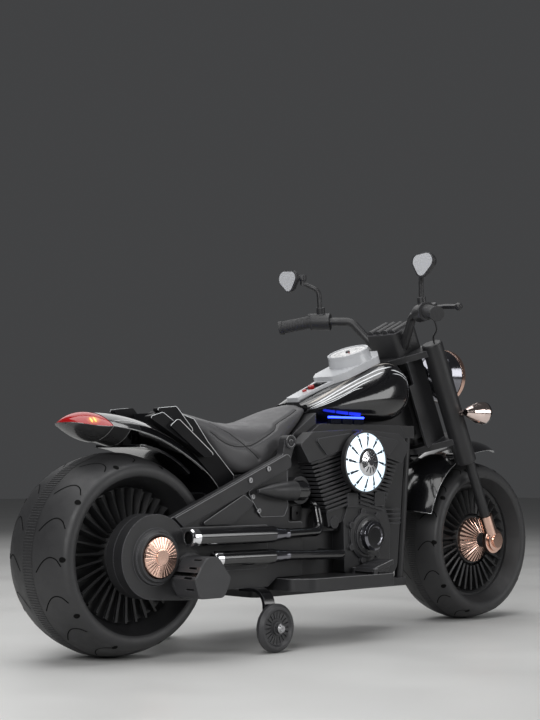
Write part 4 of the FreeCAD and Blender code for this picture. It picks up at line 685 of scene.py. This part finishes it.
dress(gloss_black, "tank_halves")
taupe_satin = moulded("taupe_satin", (0.30, 0.28, 0.26), (0.38, 0.36, 0.33), 0.03, 0.30, 0.05, 0.002,
                      metallic=0.5)
stripe_white = moulded("stripe_white", (0.70, 0.72, 0.74), (0.80, 0.82, 0.84), 0.03, 0.30, 0.05, 0.002)
tank_inward = (0, 1, -0.9)
painted_line("tank_edge_band", "tank_halves",
             [(-0.0295, -0.031, 0.3915), (-0.0084, -0.042, 0.407), (0.0317, -0.0436, 0.4258),
              (0.081, -0.0376, 0.4465), (0.125, -0.037, 0.4653), (0.150, -0.044, 0.474),
              (0.166, -0.0485, 0.4756), (0.1754, -0.0552, 0.472)],
             0.0042, tank_inward, taupe_satin, "frame")
for label, stops, width in (
        ("upper", [(-0.0300, -0.036, 0.3895), (-0.006, -0.0478, 0.4042), (0.038, -0.051, 0.4248),
                   (0.0817, -0.0502, 0.4431), (0.123, -0.0525, 0.4595), (0.1471, -0.0576, 0.4667),
                   (0.1622, -0.0588, 0.4693)], 0.0026),
        ("second", [(-0.0300, -0.041, 0.3880), (-0.0038, -0.051, 0.4022), (0.038, -0.0563, 0.4207),
                    (0.0877, -0.058, 0.441), (0.1252, -0.0612, 0.4552), (0.1375, -0.0635, 0.4588)], 0.0026),
        ("third", [(-0.0285, -0.0425, 0.3870), (0.0056, -0.0552, 0.4033), (0.0442, -0.0612, 0.4188),
                   (0.0832, -0.0622, 0.4358), (0.1072, -0.0641, 0.4445)], 0.0014),
        ("fourth", [(-0.0265, -0.0438, 0.3865), (0.0155, -0.059, 0.4045), (0.0586, -0.0636, 0.4231),
                    (0.0781, -0.0668, 0.4286)], 0.0012),
        ("front_upper", [(0.1541, -0.0647, 0.4633), (0.1673, -0.0689, 0.4607), (0.1858, -0.0712, 0.4513),
                         (0.196, -0.072, 0.440)], 0.0028),
        ("front_lower", [(0.152, -0.0712, 0.4559), (0.168, -0.0736, 0.4545), (0.1815, -0.0749, 0.4469),
                         (0.192, -0.075, 0.437)], 0.0016)):
    painted_line("tank_line_" + label, "tank_halves", stops, width, tank_inward, stripe_white, "frame")

# Console: a silver moulding along the top of the tank with a dark switch panel let into it, which holds
# a red power button and a black direction rocker, and a small red lamp behind them.
silver_paint = moulded("silver_paint", (0.46, 0.47, 0.49), (0.52, 0.53, 0.55), 0.12, 0.22, 0.04, 0.0012,
                       4e-6, wear_and_highlight=1.15)
dress(silver_paint, "console")
console_start = Vector((-0.02848, 0, 0.402))
console_slope = math.radians(21.92)
console_along = Vector((math.cos(console_slope), 0, math.sin(console_slope)))
console_up = Vector((-math.sin(console_slope), 0, math.cos(console_slope)))
panel_back, panel_front, panel_half = 0.0415, 0.0825, 0.0155
panel_low, panel_high = 0.003, 0.0075


def in_switch_panel(spot, facing):
    along = (spot - console_start).dot(console_along)
    up = (spot - console_start).dot(console_up)
    return panel_back < along < panel_front and abs(spot.y) < panel_half and panel_low < up < panel_high


dress_part("console", matt_black, in_switch_panel)
button_red = moulded("button_red", (0.32, 0.010, 0.010), (0.40, 0.016, 0.016), 0.02, 0.25, 0.05, 0.001,
                     3e-5)
dress(button_red, "power_button")
dress(matt_black, "direction_rocker")

# Gauge: a white dial in the console's drum, printed with a sweep of grey marks round a fine grey ring,
# with a red needle on a black hub. The red lamp belongs to the same insert.
dial_white = moulded("dial_white", (0.74, 0.74, 0.74), (0.82, 0.82, 0.82), 0.03, 0.25)
dress(dial_white, "gauge_dial")
lamp_reach, dial_reach, dial_lift = 0.06, 0.1647, 0.0353
dress_part("gauge_dial", button_red,
           lambda spot, facing: (spot - console_start).dot(console_along) < lamp_reach)
dial_spot = console_start + console_along * dial_reach + console_up * dial_lift
dial_tilt = (math.pi / 2, -console_slope, 0)
print_grey = moulded("print_grey", (0.09, 0.09, 0.10), (0.13, 0.13, 0.14), 0.02, 0.4)
ring_grey = moulded("ring_grey", (0.34, 0.34, 0.35), (0.40, 0.40, 0.41), 0.02, 0.35)
sweep_start, sweep_turn = math.radians(45), math.radians(280)


def dial_mark(inner, outer, half, turn):
    """Corners of one radial mark, turned about the dial's middle."""
    corners = [(inner, -half), (outer, -half), (outer, half), (inner, half)]
    return [(a * math.cos(turn) - b * math.sin(turn), 0, a * math.sin(turn) + b * math.cos(turn))
            for a, b in corners]


for label, count, mark in (("fine_marks", 28, (0.0235, 0.0265, 0.00025)),
                           ("long_marks", 7, (0.0205, 0.0265, 0.00045))):
    ring_of("gauge_" + label, dial_mark(*mark, sweep_start), [(3, 2, 1, 0)], count, dial_spot,
                    print_grey, "frame", dial_tilt, sweep_turn)
ring_links, ring_inner, ring_outer = 72, 0.0172, 0.0180
ring_link = [(r * math.cos(turn), 0, r * math.sin(turn))
             for r in (ring_inner, ring_outer) for turn in (0, math.tau / ring_links)]
ring_of("gauge_inner_ring", ring_link, [(0, 1, 3, 2)], ring_links, dial_spot, ring_grey, "frame",
                dial_tilt)


def on_dial(across, along, lift):
    return dial_spot + Vector((0, across, 0)) + console_along * along + console_up * lift


needle_turn = math.radians(215)
needle_reach, needle_tail, needle_half = 0.0215, 0.006, 0.0011
needle_low, needle_high = 0.0008, 0.0014
needle_ahead = Vector((math.cos(needle_turn), math.sin(needle_turn)))
needle_side = Vector((-needle_ahead.y, needle_ahead.x)) * needle_half
needle_back = needle_ahead * needle_tail
needle_flat = [-needle_side - needle_back, needle_ahead * needle_reach, needle_side - needle_back]
needle_points = [on_dial(p.x, p.y, lift) for lift in (needle_low, needle_high) for p in needle_flat]
needle = piece("gauge_needle", needle_points,
               [(2, 1, 0), (3, 4, 5), (0, 1, 4, 3), (1, 2, 5, 4), (2, 0, 3, 5)], button_red, "frame")
hub_rows = [(0.0042, 0.0), (0.0042, 0.0016), (0.0034, 0.0026), (0.0016, 0.0031)]
hub_sides = 20
hub_turns = [math.tau * i / hub_sides for i in range(hub_sides)]
hub_points = [on_dial(r * math.cos(turn), r * math.sin(turn), lift)
              for r, lift in hub_rows for turn in hub_turns]
hub_faces = [quad[::-1] for quad in tube_faces(0, hub_sides, len(hub_rows))]
hub_faces.append(tuple(range(len(hub_points) - 1, len(hub_points) - hub_sides - 1, -1)))
piece("gauge_needle_hub", hub_points, hub_faces, matt_black, "frame")

# Saddle: foam under a sewn cover of soft grained leather cloth, with a raised rear, a low waist and a
# raised nose. A welted seam runs along each side below the top panel and another crosses the waist.
leather = moulded("seat_leather", (0.068, 0.067, 0.070), (0.086, 0.085, 0.089), 0.04, 0.46, 0.06, 0.0011,
                  3e-4)
leather_tree = leather.node_tree
leather_place = leather_tree.nodes.new("ShaderNodeTexCoord")
leather_cells = leather_tree.nodes.new("ShaderNodeTexVoronoi")
leather_pore = 0.0022
leather_cells.inputs["Scale"].default_value = 1 / leather_pore
leather_tree.links.new(leather_place.outputs["Object"], leather_cells.inputs["Vector"])
raised(leather, leather_cells.outputs["Distance"], depth=2e-4, strength=0.35)

saddle_voxel, saddle_shrink, saddle_cap = 0.005, 0.004, 0.005
saddle_steps, saddle_underside = 20, -0.35
saddle_shape = bmesh.new()
saddle_shape.from_mesh(nodes["seat_pad"].data)
bmesh.ops.remove_doubles(saddle_shape, verts=saddle_shape.verts, dist=1e-5)
saddle_mesh = bpy.data.meshes.new("saddle")
saddle_shape.to_mesh(saddle_mesh)
saddle_shape.free()
saddle = bpy.data.objects.new("saddle", saddle_mesh)
scene.collection.objects.link(saddle)
even_grid = saddle.modifiers.new("even_grid", "REMESH")
even_grid.mode = "VOXEL"
even_grid.voxel_size = saddle_voxel
relaxed = saddle.modifiers.new("relaxed", "SMOOTH")
relaxed.factor = 0.5
relaxed.iterations = 4
settled(saddle)
resting = [v.index for v in saddle.data.vertices if v.normal.z < saddle_underside]
held = set(resting)
slack = [v.co.copy() if v.index in held else v.co - v.normal * saddle_shrink
         for v in saddle.data.vertices]
for v, spot in zip(saddle.data.vertices, slack):
    v.co = spot
saddle.vertex_groups.new(name="held").add(resting, 1, "REPLACE")
cover = saddle.modifiers.new("cover", "CLOTH")
cover.settings.use_pressure = True
cover.settings.uniform_pressure_force = 4
cover.settings.effector_weights.gravity = 0
cover.settings.vertex_group_mass = "held"
cover.settings.tension_stiffness = 40
cover.settings.compression_stiffness = 40
cover.settings.bending_stiffness = 12
cover.point_cache.frame_end = saddle_steps
for step in range(1, saddle_steps + 1):
    scene.frame_set(step)
settled(saddle)
scene.frame_set(1)
for v, spot in zip(saddle.data.vertices, slack):
    push = v.co - spot
    if push.length > saddle_cap:
        v.co = spot + push * (saddle_cap / push.length)
taut = saddle.modifiers.new("taut", "SMOOTH")
taut.factor = 0.5
taut.iterations = 18
finer = saddle.modifiers.new("finer", "SUBSURF")
finer.levels = 1
settled(saddle)
saddle.data.materials.clear()
saddle.data.materials.append(leather)

seam_stops = {
    "side": [(-0.272, -0.063, 0.346), (-0.241, -0.071, 0.327), (-0.199, -0.074, 0.326),
             (-0.160, -0.070, 0.341), (-0.132, -0.065, 0.356), (-0.121, -0.056, 0.367),
             (-0.083, -0.048, 0.382), (-0.055, -0.036, 0.394)],
    "waist": [(-0.259, -0.048, 0.364), (-0.238, -0.058, 0.354), (-0.217, -0.069, 0.337),
              (-0.196, -0.075, 0.319), (-0.176, -0.075, 0.303)]}
seam_width, seam_depth = 0.0055, 0.0018
seam_skin = skin_of(saddle.data)
seam_lines = []
for stops in seam_stops.values():
    line = smooth_line([Vector(p) for p in stops], steps=12)
    for flip in (1, -1):
        seam_lines.append([seam_skin.find_nearest(Vector((p.x, p.y * flip, p.z)))[0] for p in line])
seam_tree = KDTree(sum(len(line) for line in seam_lines))
for i, spot in enumerate(p for line in seam_lines for p in line):
    seam_tree.insert(spot, i)
seam_tree.balance()
outward = [v.normal.copy() for v in saddle.data.vertices]
for v, out in zip(saddle.data.vertices, outward):
    gap = seam_tree.find(v.co)[2]
    if gap < seam_width:
        v.co -= out * seam_depth * (1 - (gap / seam_width) ** 2) ** 2
saddle.data.shade_smooth()
welt_radius, welt_sides = 0.0009, 6
sewn_skin = skin_of(saddle.data)
points, faces = [], []
for line in seam_lines:
    base = len(points)
    for i, spot in enumerate(line):
        hit, out, _, _ = sewn_skin.find_nearest(spot)
        side = heading(line, i).normalized().cross(out).normalized()
        for k in range(welt_sides):
            turn = math.tau * k / welt_sides
            points.append(hit + (out * math.cos(turn) + side * math.sin(turn)) * welt_radius)
    faces += tube_faces(base, welt_sides, len(line))
welt_dark = moulded("welt_dark", (0.012, 0.012, 0.013), (0.018, 0.018, 0.019), 0.01, 0.5, 0.06, 0.0008,
                    1e-4)
welts = piece("saddle_welts", points, faces, welt_dark, "frame")
welts.data.shade_smooth()
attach(saddle, "frame")
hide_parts("seat_pad")

stitch_tree = shaping_tree("stitches_along", Pitch="Float", Finish="Material")
stitch_given = stitch_tree.nodes.new("NodeGroupInput")
stitch_line = stitch_tree.nodes.new("GeometryNodeMeshToCurve")
stitch_spots = stitch_tree.nodes.new("GeometryNodeCurveToPoints")
stitch_spots.mode = "LENGTH"
stitch_thread = stitch_tree.nodes.new("GeometryNodeMeshCylinder")
stitch_thread.inputs["Vertices"].default_value = 6
stitch_thread.inputs["Radius"].default_value = 0.0005
stitch_thread.inputs["Depth"].default_value = 0.0030
stitch_copies = stitch_tree.nodes.new("GeometryNodeInstanceOnPoints")
stitch_solid = stitch_tree.nodes.new("GeometryNodeRealizeInstances")
for start, end in ((stitch_given.outputs["Geometry"], stitch_line.inputs["Mesh"]),
                   (stitch_line.outputs["Curve"], stitch_spots.inputs["Curve"]),
                   (stitch_given.outputs["Pitch"], stitch_spots.inputs["Length"]),
                   (stitch_spots.outputs["Points"], stitch_copies.inputs["Points"]),
                   (stitch_spots.outputs["Rotation"], stitch_copies.inputs["Rotation"]),
                   (stitch_thread.outputs["Mesh"], stitch_copies.inputs["Instance"]),
                   (stitch_copies.outputs["Instances"], stitch_solid.inputs["Geometry"])):
    stitch_tree.links.new(start, end)
paint_out(stitch_tree, stitch_given, stitch_solid.outputs["Geometry"])

thread_grey = moulded("thread_grey", (0.10, 0.10, 0.105), (0.13, 0.13, 0.135), 0.004, 0.5, 0.05, 0.0005,
                      5e-5)
stitch_offset, stitch_pitch, stitch_lift = 0.0042, 0.0044, 0.0001
points, edges = [], []
for line in seam_lines:
    for i, spot in enumerate(line):
        hit, out, _, _ = sewn_skin.find_nearest(spot)
        beside = hit + heading(line, i).cross(out).normalized() * stitch_offset
        hit, out, _, _ = sewn_skin.find_nearest(beside)
        if i:
            edges.append((len(points) - 1, len(points)))
        points.append(hit + out * stitch_lift)
stitches = shaped("saddle_stitches", points, edges, [], stitch_tree, Pitch=stitch_pitch, Finish=thread_grey)
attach(stitches, "frame")

# Rear fender and tail: a gloss black fender with painted highlights as silver beads along its rolled
# edges and a silver line that is partly pinstripe and partly painted highlight, a smoked tail base under
# it, and a red lamp with an amber bulb at each side.
dress(gloss_black, "rear_fender", "tail_base")
# Silver for pinstripe and for painted highlights along edges.
silver_pinstripe_and_highlight = moulded("silver_pinstripe_and_highlight", (0.50, 0.50, 0.51), (0.60, 0.60, 0.61), 0.02, 0.24, 0.05, 0.002,
                      metallic=0.6)
rolled_bead, tail_bead, fender_inner = 0.0005, 0.0004, 0.03
# Silver beads along the fender's rolled edges: painted highlight.
edge_beads("rear_fender_edges", "rear_fender",
                   lambda spot, out: abs(spot.y) > fender_inner and out.z < 0.5,
                   rolled_bead, silver_pinstripe_and_highlight, "frame")
# Silver line along the fender's crown: partly pinstripe, partly painted highlight.
painted_line("rear_fender_line", "rear_fender",
                     [(-0.467, -0.053, 0.359), (-0.428, -0.050, 0.360), (-0.355, -0.064, 0.341),
                      (-0.312, -0.063, 0.317), (-0.285, -0.056, 0.299)],
                     0.0018, (0, 1, -0.6), silver_pinstripe_and_highlight, "frame")
smoked_plastic = moulded("smoked_plastic", (0.030, 0.030, 0.031), (0.042, 0.042, 0.043), 0.04, 0.16, 0.04,
                         0.003, wear_and_highlight=3)
smoked_front, tail_front = -0.42, -0.40
dress_part("tail_base", smoked_plastic, lambda spot, facing: spot.x < smoked_front)
# Silver beads along the tail base's rear edges: painted highlight.
edge_beads("tail_base_edges", "tail_base",
                   lambda spot, out: spot.x < tail_front and abs(out.y) > 0.2,
                   tail_bead, silver_pinstripe_and_highlight, "frame")
bulb_spot = (0.490, 0.040, 0.361)
tail_light = lit("tail_light", (1.0, 0.40, 0.05), (0.22, 0.003, 0.004), bulb_spot, reach=0.013,
                 strength=0.7, rough=0.12)
dress(tail_light, "tail_lamp_lens")
bulb_amber = lit("bulb_amber", (1.0, 0.55, 0.12), (1.0, 0.42, 0.06), bulb_spot, reach=0.008,
                 strength=1.0, rough=0.2)
for label, x in (("rear", -0.4945), ("front", -0.4885)):
    painted_line("tail_bulb_" + label, "tail_lamp_lens",
                         [(x, -0.0405, 0.3565), (x, -0.0395, 0.361), (x, -0.038, 0.3655)],
                         0.0026, (0.3, 1, -0.2), bulb_amber, "frame")

# Seat cowl: stepped black fins behind the saddle, moulded in one with a satin skin, each outlined by
# a fine white bead along its edge.
satin_black = moulded("satin_black", (0.006, 0.006, 0.007), (0.010, 0.010, 0.011), 0.08, 0.42, 0.05,
                      0.002, 4e-5, wear_and_highlight=3, specular=0.1)
dress(satin_black, "seat_cowl")
cowl_inner, cowl_foot, cowl_bead = 0.03, 0.30, 0.0006
edge_beads("cowl_outlines", "seat_cowl",
                   lambda spot, out: abs(spot.y) > cowl_inner and spot.z > cowl_foot and out.z > -0.2
                   and out.y * spot.y > 0, cowl_bead, stripe_white, "frame")

# Training wheels: grey moulded wheels with a ring of slots, on gloss black flat bars bent down from the
# swing arms.
dress(gloss_black, "training_arms")
dress(dark_grey, "training_wheel_left", "training_wheel_right")

# Accelerator pedal: a matt black ribbed wedge hinged at its heel on the right foot board, with a painted
# highlight as a silver bead along its outer edge.
dress(matt_black, "accelerator_pedal")
pedal_outer = -0.1435
edge_beads("pedal_edge", "accelerator_pedal",
                   lambda spot, out: spot.y < pedal_outer and out.z > 0.5,
                   rolled_bead, silver_pinstripe_and_highlight, "pedal")

# Fork: matt black upper covers over slimmer legs, joined by two crowns and a shroud, with a gloss black
# front fender between them whose rolled edges carry painted highlights as silver beads.
dress(matt_black, "fork_covers", "fork_sliders", "fork_crown")
dress(gloss_black, "front_fender")
edge_beads("front_fender_edges", "front_fender",
                   lambda spot, out: abs(spot.y) > 0.02 and abs(out.y) > 0.2,
                   rolled_bead, silver_pinstripe_and_highlight, "steering")


# Headlight: a smoked chrome bucket on a bracket from the fork's shroud, closed by a plated bezel that
# holds a fluted clear lens.
def ribbed(material, axis, pitch, depth):
    """Adds parallel moulded ribs across an axis to a finish."""
    tree = material.node_tree
    place = tree.nodes.new("ShaderNodeTexCoord")
    wave = tree.nodes.new("ShaderNodeTexWave")
    wave.bands_direction = axis
    wave.inputs["Scale"].default_value = math.tau / 20 / pitch
    tree.links.new(place.outputs["Object"], wave.inputs["Vector"])
    return raised(material, wave.outputs["Fac"], depth)


dress(smoked_chrome, "headlight_bucket")
dress(rose_plating, "headlight_lens")
lens_pale = ribbed(moulded("lens_pale", (0.62, 0.64, 0.66), (0.72, 0.74, 0.76), 0.03, 0.12, 0.04,
                           0.003), "Y", pitch=0.006, depth=0.0012)
headlight_low, headlight_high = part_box("headlight_lens")
headlight_z, glass_radius, glass_back = (headlight_low.z + headlight_high.z) / 2, 0.0435, 0.002
dress_part("headlight_lens", lens_pale,
           lambda spot, facing: math.hypot(spot.y, spot.z - headlight_z) < glass_radius
           and spot.x > headlight_low.x + glass_back)

# Indicators: plated bullets on short stalks from the fork covers, each with a pale amber lens at its
# front and a dark band behind that.
blush_chrome = moulded("blush_chrome", (0.84, 0.68, 0.62), (0.92, 0.77, 0.71), 0.03, 0.12, 0.04, 0.003,
                       metallic=1.0, corner=0.0005)
dress(blush_chrome, "indicators")
lens_amber = moulded("lens_amber", (0.75, 0.36, 0.08), (0.85, 0.44, 0.12), 0.02, 0.14, 0.04, 0.002)
bullet_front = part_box("indicators")[1].x
band_back, band_front, lens_back = bullet_front - 0.0105, bullet_front - 0.0062, bullet_front - 0.0058
dress_part("indicators", gloss_black,
           lambda spot, facing: band_back < spot.x < band_front and abs(facing.x) < 0.05)
dress_part("indicators", lens_amber, lambda spot, facing: spot.x > lens_back and abs(spot.y) > 0.1)

# Handlebar: a matt black tube with ribbed dark grey rubber grips, switch housings, a ribbed box on the
# upper crown, and a brake lever with a ball end whose cable runs down to the right fork cover.
dress(matt_black, "handlebars", "switch_housings", "handlebar_box", "brake_cable", "brake_lever")
grip_rubber = ribbed(moulded("grip_rubber", (0.020, 0.020, 0.021), (0.028, 0.028, 0.030), 0.03, 0.60,
                             0.06, 0.0012, 2e-4), "Y", pitch=0.0045, depth=0.0003)
dress(grip_rubber, "grips")

# Mirrors: black teardrop shells that turn on bent stems, each with a silvered glass set flush in its
# rear face. The glass's silver is a painted reflection, a pale non-metal grey that wanders over broad
# patches.
dress(matt_black, "mirror_stems", "mirror_right", "mirror_left")
# Pale non-metal grey that brightens over broad patches: painted reflection in place of a mirror.
mirror_painted_reflection = moulded("mirror_painted_reflection", (0.40, 0.41, 0.43), (0.62, 0.63, 0.65), 0.40, 0.30, 0.04, 0.05,
                        1e-6, corner=0.0003)
rim_depth, glass_depth = 0.004, 0.0005
for name in ("mirror_right", "mirror_left"):
    mesh = nodes[name].data
    mesh.materials.append(mirror_painted_reflection)
    face_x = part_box(name)[0].x
    corners = [[mesh.vertices[i].co for i in face.vertices] for face in mesh.polygons]
    depths = [max(c.x for c in spots) - face_x for spots in corners]
    marks = [{tuple(round(v, 5) for v in c) for c in spots} for spots in corners]
    rim = set().union(*(mark for mark, depth in zip(marks, depths) if depth > rim_depth))
    for face, mark, depth in zip(mesh.polygons, marks, depths):
        if depth < glass_depth and not mark & rim:
            face.material_index = 1
